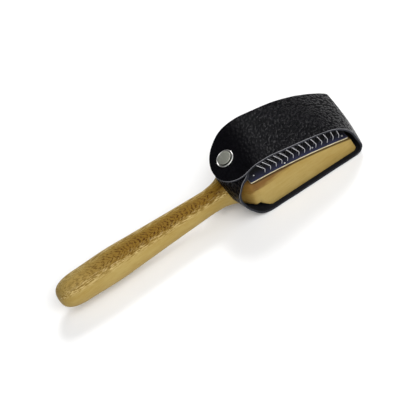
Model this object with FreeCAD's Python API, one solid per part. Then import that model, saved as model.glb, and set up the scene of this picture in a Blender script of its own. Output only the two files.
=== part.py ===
import FreeCAD, Part
import math
import os

# Suede brush: a one-piece wooden body, a pad of kneed steel wires tacked to its sloping
# face, and a leather cover that wraps the head and closes with a snap over the handle.
# Lengths are in millimetres and angles in degrees. The brush is drawn with the handle's
# axis on X, the butt at x = 0 and the wires upwards, and is moved to its frame at the end.

# Wooden body
body_length = 202.0
head_length = 70.0
head_width = 35.0
head_back_depth = 13.0
head_rear_height = 24.6
head_front_height = 11.4
head_front_lean = 1.8
head_face_crown = 1.7
head_heel_radius = 9.0
head_toe_radius = 2.4
head_edge_radius = 0.8
handle_butt_diameter = 20.2
handle_butt_depth = 20.0
handle_butt_squareness = 3.0
handle_butt_steps = 6
handle_swell_diameter = 20.9
handle_swell_distance = 38.0
handle_taper_shares = ((0.28, 0.28), (0.55, 0.58), (0.82, 0.85))
neck_diameter = 15.2
shoulder_length = 23.0
shoulder_width_power = 2.3
shoulder_height_power = 1.2
shoulder_station_shares = (0.0, 0.14, 0.28, 0.42, 0.56, 0.7, 0.85, 1.0)
neck_corner_share = 0.99
head_corner_share = 0.45
shoulder_root_share = 0.25

# Wire pad
pad_cloth_thickness = 1.2
pad_face_thickness = 0.8
pad_front_inset = 1.2
pad_arc_shares = (0.0, 0.5, 1.0)
wire_diameter = 0.45
wire_height = 8.6
wire_knee_height = 2.6
wire_forward_lean = 10.0
wire_rear_lean = 31.5
wire_front_lean = 16.5
wire_bend_radius = 0.6
wire_columns = 14
staple_rows = 6
row_stagger_share = 0.25
wire_rear_margin = 10.8
wire_front_margin = 5.8
wire_side_margin = 3.1
tack_head_diameter = 1.5
tack_head_height = 0.5
tack_head_round = 0.35
tack_shank_diameter = 0.7
tack_length = 7.0
tack_side_margin = 1.9
tack_rear_margin = 4.0
tack_front_margin = 2.8
tacks_per_side = 4

# Leather cover
cover_thickness = 1.4
cover_width = 40.0
cover_slack = 0.2
cover_front_slack = 2.8
cover_front_lean = 11.4
cover_top_slope = 15.3
cover_wire_clearance = 3.4
cover_crest_offset = 11.2
cover_flap_slope = 19.0
cover_rear_gap = 9.0
cover_hole_clearance = 0.3
heel_bend_radius = 18.0
tab_bend_radius = 6.0
toe_bend_radius = 4.7
brow_bend_radius = 14.2
crest_bend_radius = 31.0
flap_corner_radius = 19.0
tab_corner_radius = 8.0
hinge_margin = 1.0
hinge_gap = 0.3

# Snap fastener
snap_from_crest = 16.1
flap_tip_from_snap = 9.0
tab_end_from_snap = 8.5
snap_gap = 1.6
cap_diameter = 12.5
cap_height = 1.3
cap_rim_width = 1.1
cap_rim_round = 0.5
cap_dish_depth = 0.35
cap_post_diameter = 3.0
cap_post_flare = 0.5
cap_flare_thickness = 0.3
socket_diameter = 10.0
socket_wall = 0.5
socket_lip = 0.4
socket_recess = 0.5
spring_wire_diameter = 0.7
spring_opening_angle = 40.0
stud_diameter = 4.8
stud_top_diameter = 2.2
stud_flange_diameter = 8.0
stud_flange_thickness = 0.5
eyelet_flange_diameter = 7.5
eyelet_flange_thickness = 0.5
eyelet_post_diameter = 1.4
snap_lift_clearance = 0.3
snap_clearance = 0.1

# How far a cutting tool runs past the faces that it cuts
overrun = 4.0
millimetres_per_metre = 1000

# Places that follow from the sizes
head_rear_x = body_length - head_length
head_back_z = -head_back_depth
head_top_rear_z = head_back_z + head_rear_height
head_top_front_z = head_back_z + head_front_height
head_top_front_x = body_length - head_front_lean
neck_x = head_rear_x - shoulder_length
neck_radius = neck_diameter / 2
face_drop = head_top_rear_z - head_top_front_z
face_run = head_top_front_x - head_rear_x
face_chord = math.hypot(face_run, face_drop)
face_slope = math.degrees(math.atan2(face_drop, face_run))
face_radius = (face_chord ** 2 / 4 + head_face_crown ** 2) / (2 * head_face_crown)
face_half_turn = math.asin(face_chord / (2 * face_radius))
face_length = 2 * face_radius * face_half_turn
pad_length = face_length - head_edge_radius - pad_front_inset
pad_width = head_width - 2 * head_edge_radius
pad_thickness = pad_cloth_thickness + pad_face_thickness

across = FreeCAD.Vector(0, 1, 0)
upward = FreeCAD.Vector(0, 0, 1)
forward = FreeCAD.Vector(1, 0, 0)


def flat(x, z):
    """A point on the middle plane of the brush."""
    return FreeCAD.Vector(x, 0, z)


def heading(angle):
    """A unit direction in the middle plane, turned up from X by an angle."""
    return flat(math.cos(math.radians(angle)), math.sin(math.radians(angle)))


face_middle = flat((head_rear_x + head_top_front_x) / 2, (head_top_rear_z + head_top_front_z) / 2)
face_centre = face_middle - heading(90 - face_slope) * (face_radius - head_face_crown)


def on_face(along):
    """The placement that stands on the crowned face at a distance from its rear edge."""
    turn = face_slope + math.degrees(along / face_radius - face_half_turn)
    place = face_centre + heading(90 - turn) * face_radius
    return FreeCAD.Placement(place, FreeCAD.Rotation(across, turn))


def meet(start, direction, other_start, other_direction):
    """The point where two lines of the middle plane cross."""
    gap = other_start - start
    cross = direction.x * other_direction.z - direction.z * other_direction.x
    along = (gap.x * other_direction.z - gap.z * other_direction.x) / cross
    return start + direction * along


def unit(vector):
    """The same direction with length one."""
    return vector / vector.Length


def bend(before, corner, after, radius):
    """The two ends, the middle and the centre of the arc that rounds a corner."""
    back = unit(before - corner)
    ahead = unit(after - corner)
    half_angle = back.getAngle(ahead) / 2
    reach = radius / math.tan(half_angle)
    centre = corner + unit(back + ahead) * (radius / math.sin(half_angle))
    middle = centre + unit(corner - centre) * radius
    return corner + back * reach, middle, corner + ahead * reach, centre


def rounded_edges(points, radii):
    """Straight edges through the points, with an arc at each inner point that has a radius."""
    edges = []
    start = points[0]
    for index, radius in enumerate(radii, 1):
        if radius:
            first, middle, last, _ = bend(*points[index - 1:index + 2], radius)
            edges.append(Part.LineSegment(start, first).toShape())
            edges.append(Part.Arc(first, middle, last).toShape())
            start = last
        else:
            edges.append(Part.LineSegment(start, points[index]).toShape())
            start = points[index]
    edges.append(Part.LineSegment(start, points[-1]).toShape())
    return edges


def nearest_edges(solid, points):
    """For each point, the edge of the solid whose middle lies closest to it."""
    return [
        min(solid.Edges, key=lambda edge: edge.CenterOfMass.distanceToPoint(point))
        for point in points
    ]


def turned(points, radii):
    """A solid turned about Z from a closed outline of radius and height."""
    corners = [flat(radius, height) for radius, height in points]
    outline = Part.Wire(rounded_edges(corners + corners[:1], radii))
    return Part.Face(outline).revolve(FreeCAD.Vector(), upward, 360)


def rod(radius, start, direction, length):
    """A plain round rod from a start point."""
    return Part.makeCylinder(radius, length, start, direction)


def shoulder_section(share, grow):
    """One closed section of the shoulder, from round at the neck to square at the head."""
    wide = share ** shoulder_width_power
    tall = share ** shoulder_height_power
    top = neck_radius + tall * (head_top_rear_z - head_edge_radius - neck_radius)
    half_width = neck_radius + wide * (head_width / 2 - head_edge_radius - neck_radius) + grow
    half_height = (top + neck_radius) / 2 + grow
    centre_z = (top - neck_radius) / 2
    corner_share = neck_corner_share + wide * (head_corner_share - neck_corner_share)
    corner_radius = min(half_width, half_height) * corner_share
    x = neck_x + share * shoulder_length
    bottom = FreeCAD.Vector(x, 0, centre_z - half_height)
    side = across * half_width
    rise = upward * (2 * half_height)
    corners = [bottom + side, bottom + side + rise, bottom - side + rise, bottom - side]
    return Part.Wire(rounded_edges([bottom] + corners + [bottom], [corner_radius] * len(corners)))


def shoulder(grow):
    """The flare from the neck to the head, larger all round by a clearance."""
    sections = [shoulder_section(share, grow) for share in shoulder_station_shares]
    flare = Part.makeLoft(sections, True)
    root = Part.Face(sections[-1]).extrude(forward * (head_heel_radius * shoulder_root_share))
    return flare.fuse(root)


def handle():
    """The round handle: a blunt butt, a swell for the palm and a taper to the neck."""
    swell_radius = handle_swell_diameter / 2
    points = []
    for step in range(handle_butt_steps + 1):
        turn = math.pi / 2 * step / handle_butt_steps
        back = math.cos(turn) ** (2 / handle_butt_squareness)
        rise = math.sin(turn) ** (2 / handle_butt_squareness)
        points.append(flat(handle_butt_depth * (1 - back), handle_butt_diameter / 2 * rise))
    points.append(flat(handle_swell_distance, swell_radius))
    for length_share, drop_share in handle_taper_shares:
        x = handle_swell_distance + length_share * (neck_x - handle_swell_distance)
        points.append(flat(x, swell_radius + drop_share * (neck_radius - swell_radius)))
    points.append(flat(neck_x, neck_radius))
    profile = Part.BSplineCurve()
    profile.interpolate(Points=points, InitialTangent=upward, FinalTangent=forward, Scale=False)
    closing = [
        Part.LineSegment(points[-1], flat(neck_x, 0)).toShape(),
        Part.LineSegment(flat(neck_x, 0), points[0]).toShape(),
    ]
    outline = Part.Wire([profile.toShape()] + closing)
    return Part.Face(outline).revolve(FreeCAD.Vector(), forward, 360)


def head():
    """The wedge-shaped head with a crowned face, a round heel and eased edges."""
    corners = [
        flat(head_rear_x, head_top_rear_z),
        flat(head_rear_x, head_back_z),
        flat(body_length, head_back_z),
        flat(head_top_front_x, head_top_front_z),
    ]
    outline = rounded_edges(corners, [head_heel_radius, head_toe_radius])
    outline.append(Part.Arc(corners[-1], on_face(face_length / 2).Base, corners[0]).toShape())
    block = Part.Face(Part.Wire(outline)).extrude(across * head_width)
    block.translate(across * (-head_width / 2))
    return block.makeFillet(head_edge_radius, block.Edges)


def brush_body():
    """Handle, shoulder and head in one piece of wood."""
    return handle().fuse([shoulder(0), head()]).removeSplitter()


def pad_layer(bottom, thickness):
    """One layer of the pad, which follows the crowned face of the head."""
    stations = [on_face(head_edge_radius + pad_length * share) for share in pad_arc_shares]
    lower = [station.multVec(flat(0, bottom)) for station in stations]
    upper = [station.multVec(flat(0, bottom + thickness)) for station in stations]
    edges = [
        Part.Arc(*lower).toShape(),
        Part.LineSegment(lower[-1], upper[-1]).toShape(),
        Part.Arc(*reversed(upper)).toShape(),
        Part.LineSegment(upper[0], lower[0]).toShape(),
    ]
    layer = Part.Face(Part.Wire(edges)).extrude(across * pad_width)
    layer.translate(across * (-pad_width / 2))
    return layer


def lean_reach(lean, height):
    """How far a leaning leg moves sideways over a height."""
    return math.tan(math.radians(lean)) * height


def tip_reach(lean):
    """How far forward of its root a wire's tip stands, with its upper leg leaning back."""
    return knee_reach - lean_reach(lean, wire_height - wire_knee_height)


knee_reach = lean_reach(wire_forward_lean, wire_knee_height)
wire_pitch = (pad_length - wire_rear_margin - wire_front_margin) / (wire_columns - 1)
leg_pitch = (pad_width - 2 * wire_side_margin) / (2 * staple_rows - 1)
first_wire = head_edge_radius + wire_rear_margin
last_wire = first_wire + wire_pitch * (wire_columns - 1)
last_tip = on_face(last_wire).multVec(flat(tip_reach(wire_front_lean), pad_thickness + wire_height))


def wire_staple(lean):
    """One staple: a crown in the cloth and two kneed legs that stand through the pad."""
    crown = wire_diameter / 2
    side = across * (leg_pitch / 2)
    leg = [
        flat(tip_reach(lean), pad_thickness + wire_height),
        flat(knee_reach, pad_thickness + wire_knee_height),
        flat(0, pad_thickness),
        flat(0, crown),
    ]
    path = [point - side for point in leg] + [point + side for point in reversed(leg)]
    spine = Part.Wire(rounded_edges(path, [wire_bend_radius] * (len(path) - 2)))
    section = Part.Circle(path[0], path[1] - path[0], wire_diameter / 2).toShape()
    return spine.makePipeShell([Part.Wire(section)], True, False)


def wire_row(index):
    """One row of staples along the pad, shifted by turns to stand between its neighbours.

    The upper legs lean back further towards the handle."""
    side = (index - (staple_rows - 1) / 2) * 2 * leg_pitch
    stagger = row_stagger_share * wire_pitch
    shift = stagger if index % 2 else -stagger
    row = []
    for column in range(wire_columns):
        share = column / (wire_columns - 1)
        staple = wire_staple(wire_rear_lean + share * (wire_front_lean - wire_rear_lean))
        staple.translate(across * side)
        place = on_face(first_wire + column * wire_pitch + shift)
        staple.Placement = place.multiply(staple.Placement)
        row.append(staple)
    return Part.makeCompound(row)


def pad_tacks():
    """Round-headed tacks along both long edges of the pad."""
    head_radius = tack_head_diameter / 2
    shank_radius = tack_shank_diameter / 2
    outline = [
        (0, tack_head_height),
        (head_radius, tack_head_height),
        (head_radius, 0),
        (shank_radius, 0),
        (shank_radius, -tack_length),
        (0, -tack_length),
    ]
    tack = turned(outline, [tack_head_round, 0, 0, 0, 0])
    first = head_edge_radius + tack_rear_margin
    last = head_edge_radius + pad_length - tack_front_margin
    side = pad_width / 2 - tack_side_margin
    tacks = []
    for index in range(tacks_per_side):
        along = first + (last - first) * index / (tacks_per_side - 1)
        for place in (-side, side):
            copy = tack.copy()
            copy.translate(FreeCAD.Vector(0, place, pad_thickness))
            copy.Placement = on_face(along).multiply(copy.Placement)
            tacks.append(copy)
    return Part.makeCompound(tacks)


# Corners of the cover's inner surface, from the tab round the head to the flap's tip
up_front = heading(90 + cover_front_lean)
up_top = heading(180 - cover_top_slope)
down_flap = heading(180 + cover_flap_slope)
flap_outward = heading(90 + cover_flap_slope)
cover_back = flat(head_rear_x, head_back_z - cover_slack)
cover_front = flat(body_length + cover_front_slack, head_back_z)
cover_top = last_tip + upward * cover_wire_clearance
cover_wall = flat(head_rear_x - cover_rear_gap, 0)
toe_corner = meet(cover_back, forward, cover_front, up_front)
brow_corner = meet(cover_front, up_front, cover_top, up_top)
crest_corner = meet(cover_top, up_top, flat(head_rear_x + cover_crest_offset, 0), upward)
flap_tip = crest_corner + down_flap * (snap_from_crest + flap_tip_from_snap)
snap_inner = crest_corner + down_flap * snap_from_crest
snap_outer = snap_inner + flap_outward * cover_thickness
tab_outer = snap_inner - flap_outward * snap_gap
tab_inner = tab_outer - flap_outward * cover_thickness
tab_end = tab_inner - down_flap * tab_end_from_snap
tab_corner = meet(tab_inner, down_flap, cover_wall, upward)
heel_corner = meet(cover_wall, upward, cover_back, forward)
toe_start, _, _, toe_centre = bend(heel_corner, toe_corner, brow_corner, toe_bend_radius)
brow_start = bend(toe_corner, brow_corner, crest_corner, brow_bend_radius)[0]
crest_start = bend(brow_corner, crest_corner, flap_tip, crest_bend_radius)[0]

# Lines across the leather's inner surface where the panels fold
toe_fold = toe_start - forward * hinge_margin
brow_fold = brow_start - up_front * hinge_margin
peel_fold = crest_start - up_top * hinge_margin

# The frame: under the middle of the whole brush, on the surface that it lies on
overall_length = toe_centre.x + toe_bend_radius + cover_thickness
frame_shift = FreeCAD.Vector(-overall_length / 2, 0, cover_thickness - cover_back.z)


def outward(start, end):
    """The outward normal of a stretch of the cover that runs from start to end."""
    along = unit(end - start)
    return flat(along.z, -along.x)


def outer_points(points):
    """The inner points of a panel moved out to the leather's outer surface."""
    normals = [outward(start, end) for start, end in zip(points, points[1:])]
    moved = [points[0] + normals[0] * cover_thickness]
    for point, before, after in zip(points[1:], normals, normals[1:]):
        moved.append(point + (before + after) * (cover_thickness / (1 + before.dot(after))))
    moved.append(points[-1] + normals[-1] * cover_thickness)
    return moved


def panel(points, radii, fold_start, fold_end):
    """A panel of leather along its inner points, drawn back at the ends that fold."""
    inner = list(points)
    if fold_start:
        inner[0] = inner[0] + unit(inner[1] - inner[0]) * (hinge_gap / 2)
    if fold_end:
        inner[-1] = inner[-1] + unit(inner[-2] - inner[-1]) * (hinge_gap / 2)
    outer = outer_points(inner)
    edges = rounded_edges(inner, radii)
    edges.append(Part.LineSegment(inner[-1], outer[-1]).toShape())
    edges += reversed(rounded_edges(outer, [radius + cover_thickness for radius in radii]))
    edges.append(Part.LineSegment(outer[0], inner[0]).toShape())
    leather = Part.Face(Part.Wire(edges)).extrude(across * cover_width)
    leather.translate(across * (-cover_width / 2))
    return leather


def round_end(leather, inner_end, normal, radius):
    """Round the two corners of a free end of the leather."""
    middle = inner_end + normal * (cover_thickness / 2)
    side = across * (cover_width / 2)
    return leather.makeFillet(radius, nearest_edges(leather, [middle - side, middle + side]))


def cover_base():
    """The part of the cover that stays on the head: the tab, the wall that the handle
    passes through and the flat under the head's back."""
    points = [tab_end, tab_corner, heel_corner, toe_fold]
    leather = panel(points, [tab_bend_radius, heel_bend_radius], False, True)
    leather = round_end(leather, tab_end, flap_outward, tab_corner_radius)
    stud_seat = rod(
        stud_flange_diameter / 2 + snap_clearance, tab_outer + flap_outward * overrun,
        -flap_outward, overrun + stud_flange_thickness,
    )
    eyelet_seat = rod(
        eyelet_flange_diameter / 2 + snap_clearance, tab_inner - flap_outward * overrun,
        flap_outward, overrun + eyelet_flange_thickness,
    )
    hole = rod(
        eyelet_post_diameter / 2 + snap_clearance, tab_inner - flap_outward * overrun,
        flap_outward, cover_thickness + 2 * overrun,
    )
    return leather.cut([shoulder(cover_hole_clearance), stud_seat, eyelet_seat, hole])


def cover_front_panel():
    """The cover's turn round the front of the head."""
    return panel([toe_fold, toe_corner, brow_fold], [toe_bend_radius], True, True)


def cover_flap():
    """The cover's stretch over the wires."""
    return panel([brow_fold, brow_corner, peel_fold], [brow_bend_radius], True, True)


def cover_flap_end():
    """The rounded end of the flap, which snaps to the tab."""
    leather = panel([peel_fold, crest_corner, flap_tip], [crest_bend_radius], True, False)
    leather = round_end(leather, flap_tip, flap_outward, flap_corner_radius)
    socket_seat = rod(
        socket_diameter / 2 + snap_clearance, snap_inner - flap_outward * overrun,
        flap_outward, overrun + socket_recess,
    )
    hole = rod(
        cap_post_diameter / 2 + snap_clearance, snap_inner - flap_outward * overrun,
        flap_outward, cover_thickness + 2 * overrun,
    )
    return leather.cut([socket_seat, hole])


def on_snap(shape, origin):
    """Stand a turned snap piece on the flap's slope."""
    shape.Placement = FreeCAD.Placement(origin, FreeCAD.Rotation(upward, flap_outward))
    return shape


# Heights inside the snap, along its axis
socket_height = socket_recess + snap_gap - snap_clearance
post_length = cover_thickness - socket_recess + socket_wall
stud_height = snap_gap + socket_recess - socket_wall - cap_flare_thickness - snap_clearance
mouth_radius = stud_diameter / 2 + snap_lift_clearance
cavity_radius = mouth_radius + spring_wire_diameter + 2 * snap_clearance


def snap_cap():
    """The dished cap with its rolled rim, and the post that holds the socket."""
    radius = cap_diameter / 2
    dish_radius = radius - cap_rim_width
    dish_height = cap_height - cap_dish_depth
    post_radius = cap_post_diameter / 2
    outline = [
        (0, dish_height),
        (dish_radius, dish_height),
        (dish_radius, cap_height),
        (radius, cap_height),
        (radius, 0),
        (post_radius, 0),
        (post_radius, -post_length),
        (post_radius + cap_post_flare, -post_length),
        (post_radius + cap_post_flare, -post_length - cap_flare_thickness),
        (0, -post_length - cap_flare_thickness),
    ]
    return on_snap(turned(outline, [0, 0, cap_rim_round, 0, 0, 0, 0, 0, 0]), snap_outer)


def snap_socket():
    """The cup under the flap that closes over the stud."""
    hole_radius = cap_post_diameter / 2 + snap_clearance
    radius = socket_diameter / 2
    outline = [
        (hole_radius, 0),
        (radius, 0),
        (radius, -socket_height),
        (mouth_radius, -socket_height),
        (mouth_radius, -socket_height + socket_lip),
        (cavity_radius, -socket_height + socket_lip),
        (cavity_radius, -socket_wall),
        (hole_radius, -socket_wall),
    ]
    return on_snap(turned(outline, [0] * (len(outline) - 1)), snap_inner + flap_outward * socket_recess)


def snap_spring():
    """The open ring of wire inside the socket."""
    radius = spring_wire_diameter / 2
    height = socket_lip + radius + snap_clearance - socket_height
    middle = mouth_radius + snap_clearance + radius
    ring = Part.makeTorus(middle, radius, flat(0, height), upward, 0, 360, 360 - spring_opening_angle)
    return on_snap(ring, snap_inner + flap_outward * socket_recess)


def snap_stud():
    """The stud on the tab, a low cone that leaves the socket on any of the folds."""
    bore = eyelet_post_diameter / 2 + snap_clearance
    outline = [
        (bore, -stud_flange_thickness),
        (stud_flange_diameter / 2, -stud_flange_thickness),
        (stud_flange_diameter / 2, 0),
        (stud_diameter / 2, 0),
        (stud_top_diameter / 2, stud_height),
        (bore, stud_height),
    ]
    return on_snap(turned(outline, [0] * (len(outline) - 1)), tab_outer)


def snap_eyelet():
    """The eyelet behind the tab whose post holds the stud."""
    flange = rod(
        eyelet_flange_diameter / 2, flat(0, 0), upward, eyelet_flange_thickness,
    )
    post = rod(eyelet_post_diameter / 2, flat(0, 0), upward, cover_thickness + stud_height)
    return on_snap(flange.fuse(post), tab_inner)


def fold_axis(inner_point, normal):
    """The fold's axis on the outer surface, in metres in the brush's own frame."""
    place = inner_point + normal * cover_thickness + frame_shift
    return [round(value / millimetres_per_metre, 6) for value in place]


nodes = {
    "brush_body": brush_body(),
    "pad_cloth": pad_layer(0, pad_cloth_thickness),
    "pad_face": pad_layer(pad_cloth_thickness, pad_face_thickness),
    "pad_tacks": pad_tacks(),
    "cover_base": cover_base(),
    "cover_front_panel": cover_front_panel(),
    "cover_flap": cover_flap(),
    "cover_flap_end": cover_flap_end(),
    "snap_cap": snap_cap(),
    "snap_socket": snap_socket(),
    "snap_spring": snap_spring(),
    "snap_stud": snap_stud(),
    "snap_eyelet": snap_eyelet(),
}
for row_index in range(staple_rows):
    nodes[f"wire_row_{row_index + 1}"] = wire_row(row_index)

os.makedirs("parts", exist_ok=True)
for name, shape in nodes.items():
    shape.translate(frame_shift)
    shape.exportStep(f"parts/{name}.step")

print("toe fold", fold_axis(toe_fold, outward(heel_corner, toe_fold)))
print("brow fold", fold_axis(brow_fold, outward(toe_corner, brow_fold)))
print("peel fold", fold_axis(peel_fold, outward(brow_corner, peel_fold)))
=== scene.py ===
"""Dresses the suede brush: turned wood, the wire pad, the leather cover and its snap.

Sizes are in metres. X runs from the handle's butt to the head's toe, and Z up out of the wires.
"""

import logging
import math
from collections.abc import Iterator, Sequence
from contextlib import contextmanager
from dataclasses import dataclass, field
from enum import Enum

import bmesh
import bpy
from mathutils import Matrix, Vector, noise


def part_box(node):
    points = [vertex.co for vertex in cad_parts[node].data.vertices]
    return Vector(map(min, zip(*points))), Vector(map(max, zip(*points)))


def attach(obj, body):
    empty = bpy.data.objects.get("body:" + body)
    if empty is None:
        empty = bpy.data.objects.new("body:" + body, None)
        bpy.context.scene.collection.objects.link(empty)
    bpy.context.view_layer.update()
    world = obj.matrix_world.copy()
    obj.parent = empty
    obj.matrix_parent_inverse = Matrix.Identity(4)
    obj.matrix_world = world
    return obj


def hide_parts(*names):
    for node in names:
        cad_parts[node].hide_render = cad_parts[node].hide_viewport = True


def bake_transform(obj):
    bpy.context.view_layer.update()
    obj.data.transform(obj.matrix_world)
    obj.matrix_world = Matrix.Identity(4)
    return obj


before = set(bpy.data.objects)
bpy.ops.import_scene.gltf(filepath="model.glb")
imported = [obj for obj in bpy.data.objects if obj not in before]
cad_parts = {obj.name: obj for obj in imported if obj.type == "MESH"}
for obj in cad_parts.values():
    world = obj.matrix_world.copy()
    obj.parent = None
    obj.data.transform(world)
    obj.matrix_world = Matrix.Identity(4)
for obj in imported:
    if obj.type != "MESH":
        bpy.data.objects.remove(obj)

LOG = logging.getLogger("suede_brush")
MM = 0.001
WHITE = (1.0, 1.0, 1.0)
BLACK = (0.0, 0.0, 0.0)
MIX_SHARE, MIX_FIRST, MIX_SECOND, MIX_RESULT = 0, 6, 7, 2

Pair = tuple[float, float]
Triple = tuple[float, float, float]
Item = bpy.types.Object
Material = bpy.types.Material
Mesh = bpy.types.Mesh
Node = bpy.types.Node
Socket = bpy.types.NodeSocket
Tree = bpy.types.NodeTree
Value = Socket | bpy.types.ID | float | str | Sequence[float]
Inputs = dict[str | int, Value]


class Bench:
    """A node tree with short calls that add and join its nodes."""

    def __init__(self, tree: Tree) -> None:
        """Keep the tree that the calls work on."""
        self.tree = tree

    def add(self, kind: str, inputs: Inputs | None = None, **settings: Value) -> Node:
        """Add a node.

        Args:
            kind: The node's type name.
            inputs: Input name or number to a value or to the socket that feeds it.
            settings: The node's own properties.

        Returns:
            The new node.
        """
        node = self.tree.nodes.new(kind)
        for name, value in settings.items():
            setattr(node, name, value)
        for key, value in (inputs or {}).items():
            self.feed(node.inputs[key], value)
        return node

    def made(self, kind: str, inputs: Inputs | None = None, **settings: Value) -> Socket:
        """The first output of a new node."""
        return self.add(kind, inputs, **settings).outputs[0]

    def feed(self, socket: Socket, value: Value) -> None:
        """Link a socket to an input, or set the input's own value, a colour with full alpha.

        Args:
            socket: The input.
            value: Its value, or the socket that feeds it.
        """
        if isinstance(value, Socket):
            self.tree.links.new(value, socket)
        elif socket.type == "RGBA":
            socket.default_value = (*value, 1.0)
        else:
            socket.default_value = value

    def calc(self, operation: str, *terms: Value) -> Socket:
        """The result of one Math node on up to three terms."""
        return self.made("ShaderNodeMath", dict(enumerate(terms)), operation=operation)

    def times(self, first: Value, second: Value) -> Socket:
        """One value times another."""
        return self.calc("MULTIPLY", first, second)

    def less(self, first: Value, second: Value) -> Socket:
        """One value less another."""
        return self.calc("SUBTRACT", first, second)

    def scaled(self, value: Value, factor: Value, start: Value) -> Socket:
        """A value times a factor, on top of a start."""
        return self.calc("MULTIPLY_ADD", value, factor, start)

    def reach(self, first: Value, second: Value) -> Socket:
        """The long side of a right triangle with these short sides."""
        squares = [self.calc("POWER", side, 2.0) for side in (first, second)]
        return self.calc("SQRT", self.calc("ADD", *squares))

    def vector(self, operation: str, first: Value, second: Value) -> Socket:
        """The result of one Vector Math node."""
        key = "Scale" if operation == "SCALE" else 1
        return self.made("ShaderNodeVectorMath", {0: first, key: second}, operation=operation)

    def axes(self, vector: Socket) -> Sequence[Socket]:
        """A vector's parts along X, Y and Z."""
        return self.add("ShaderNodeSeparateXYZ", {0: vector}).outputs

    def joined(self, x: Value = 0.0, y: Value = 0.0, z: Value = 0.0) -> Socket:
        """A vector made from its parts."""
        return self.made("ShaderNodeCombineXYZ", {0: x, 1: y, 2: z})

    def span(self, value: Socket, edges: Pair, to: Pair = (0.0, 1.0)) -> Socket:
        """A smooth step of a value, from one result at its first edge to another at its second."""
        limits = dict(zip(("From Min", "From Max", "To Min", "To Max"), (*edges, *to)))
        return self.made("ShaderNodeMapRange", {"Value": value, **limits}, interpolation_type="SMOOTHSTEP")

    def blend(self, share: Value, first: Value, second: Value) -> Socket:
        """A mix of two colours by a share."""
        inputs = {MIX_SHARE: share, MIX_FIRST: first, MIX_SECOND: second}
        return self.add("ShaderNodeMix", inputs, data_type="RGBA").outputs[MIX_RESULT]

    def layered(self, color: Value, *layers: tuple[Socket, Value]) -> Socket:
        """A colour with others laid over it in order, each by its share."""
        for share, tint in layers:
            color = self.blend(share, color, tint)
        return color

    def grain(self, vector: Socket, scale: Value, detail: float = 2.0, rough: float = 0.5) -> Socket:
        """Noise between zero and one on a vector."""
        inputs = {"Vector": vector, "Scale": scale, "Detail": detail, "Roughness": rough}
        return self.made("ShaderNodeTexNoise", inputs)

    def stretch(self, vector: Socket, scale: Triple, shift: Triple = (0.0, 0.0, 0.0)) -> Socket:
        """A vector moved back by a shift and then scaled along its axes."""
        return self.vector("MULTIPLY", self.vector("SUBTRACT", vector, shift), scale)


class GroupBench(Bench):
    """A node group with named inputs and outputs."""

    def __init__(self, name: str, sort: str, inputs: dict[str, str], outputs: dict[str, str]) -> None:
        """Make the group with its sockets.

        Args:
            name: The group's name.
            sort: The kind of tree.
            inputs: Input name to socket kind, such as Float.
            outputs: Output name to socket kind.
        """
        super().__init__(bpy.data.node_groups.new(name, sort))
        self.identifiers = {}
        for way, sockets in (("INPUT", inputs), ("OUTPUT", outputs)):
            for label, kind in sockets.items():
                socket = self.tree.interface.new_socket(label, in_out=way, socket_type=f"NodeSocket{kind}")
                self.identifiers[label] = socket.identifier
        self.entry = {socket.name: socket for socket in self.add("NodeGroupInput").outputs}
        self.ends = self.add("NodeGroupOutput").inputs


@dataclass(frozen=True)
class Speckle:
    """Noise stretched along a piece, and the range of it that shows."""

    scale: Triple
    detail: float = 2.0
    rough: float = 0.5
    edges: Pair | None = None

    def on(self, bench: Bench, place: Socket) -> Socket:
        """The noise at a place, between zero and one."""
        drawn = bench.grain(bench.stretch(place, self.scale), 1.0, self.detail, self.rough)
        return bench.span(drawn, self.edges) if self.edges else drawn


@dataclass(frozen=True)
class Mottle:
    """Cloudy variation at two scales: handling marks, uneven dye and uneven polish."""

    broad_noise: Pair = (3.0, 0.55)
    fine_noise: Pair = (4.0, 0.6)
    fine_ratio: float = 7.0
    fine_share: float = 0.35
    edges: Pair = (0.3, 0.7)

    def make(self) -> Tree:
        """Build the group.

        Returns:
            The group.
        """
        inputs = {"Vector": "Vector", "Scale": "Float"}
        bench = GroupBench("Mottle", "ShaderNodeTree", inputs, {"Value": "Float"})
        place, scale = bench.entry["Vector"], bench.entry["Scale"]
        broad = bench.grain(place, scale, *self.broad_noise)
        fine = bench.grain(place, bench.times(scale, self.fine_ratio), *self.fine_noise)
        mixed = bench.scaled(broad, 1 - self.fine_share, bench.times(fine, self.fine_share))
        bench.feed(bench.ends["Value"], bench.span(mixed, self.edges))
        return bench.tree


@dataclass(frozen=True)
class Scratches:
    """Hairlines from handling, for bare metal."""

    drawn_out: Triple = (1.0, 0.06, 1.0)
    noise: Pair = (5.0, 0.7)
    edges: Pair = (0.56, 0.7)

    def make(self) -> Tree:
        """Build the group.

        Returns:
            The group.
        """
        inputs = {"Vector": "Vector", "Scale": "Float"}
        bench = GroupBench("Scratches", "ShaderNodeTree", inputs, {"Mask": "Float", "Height": "Float"})
        drawn = bench.stretch(bench.entry["Vector"], self.drawn_out)
        mask = bench.span(bench.grain(drawn, bench.entry["Scale"], *self.noise), self.edges)
        bench.feed(bench.ends["Mask"], mask)
        bench.feed(bench.ends["Height"], bench.less(1.0, mask))
        return bench.tree


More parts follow.
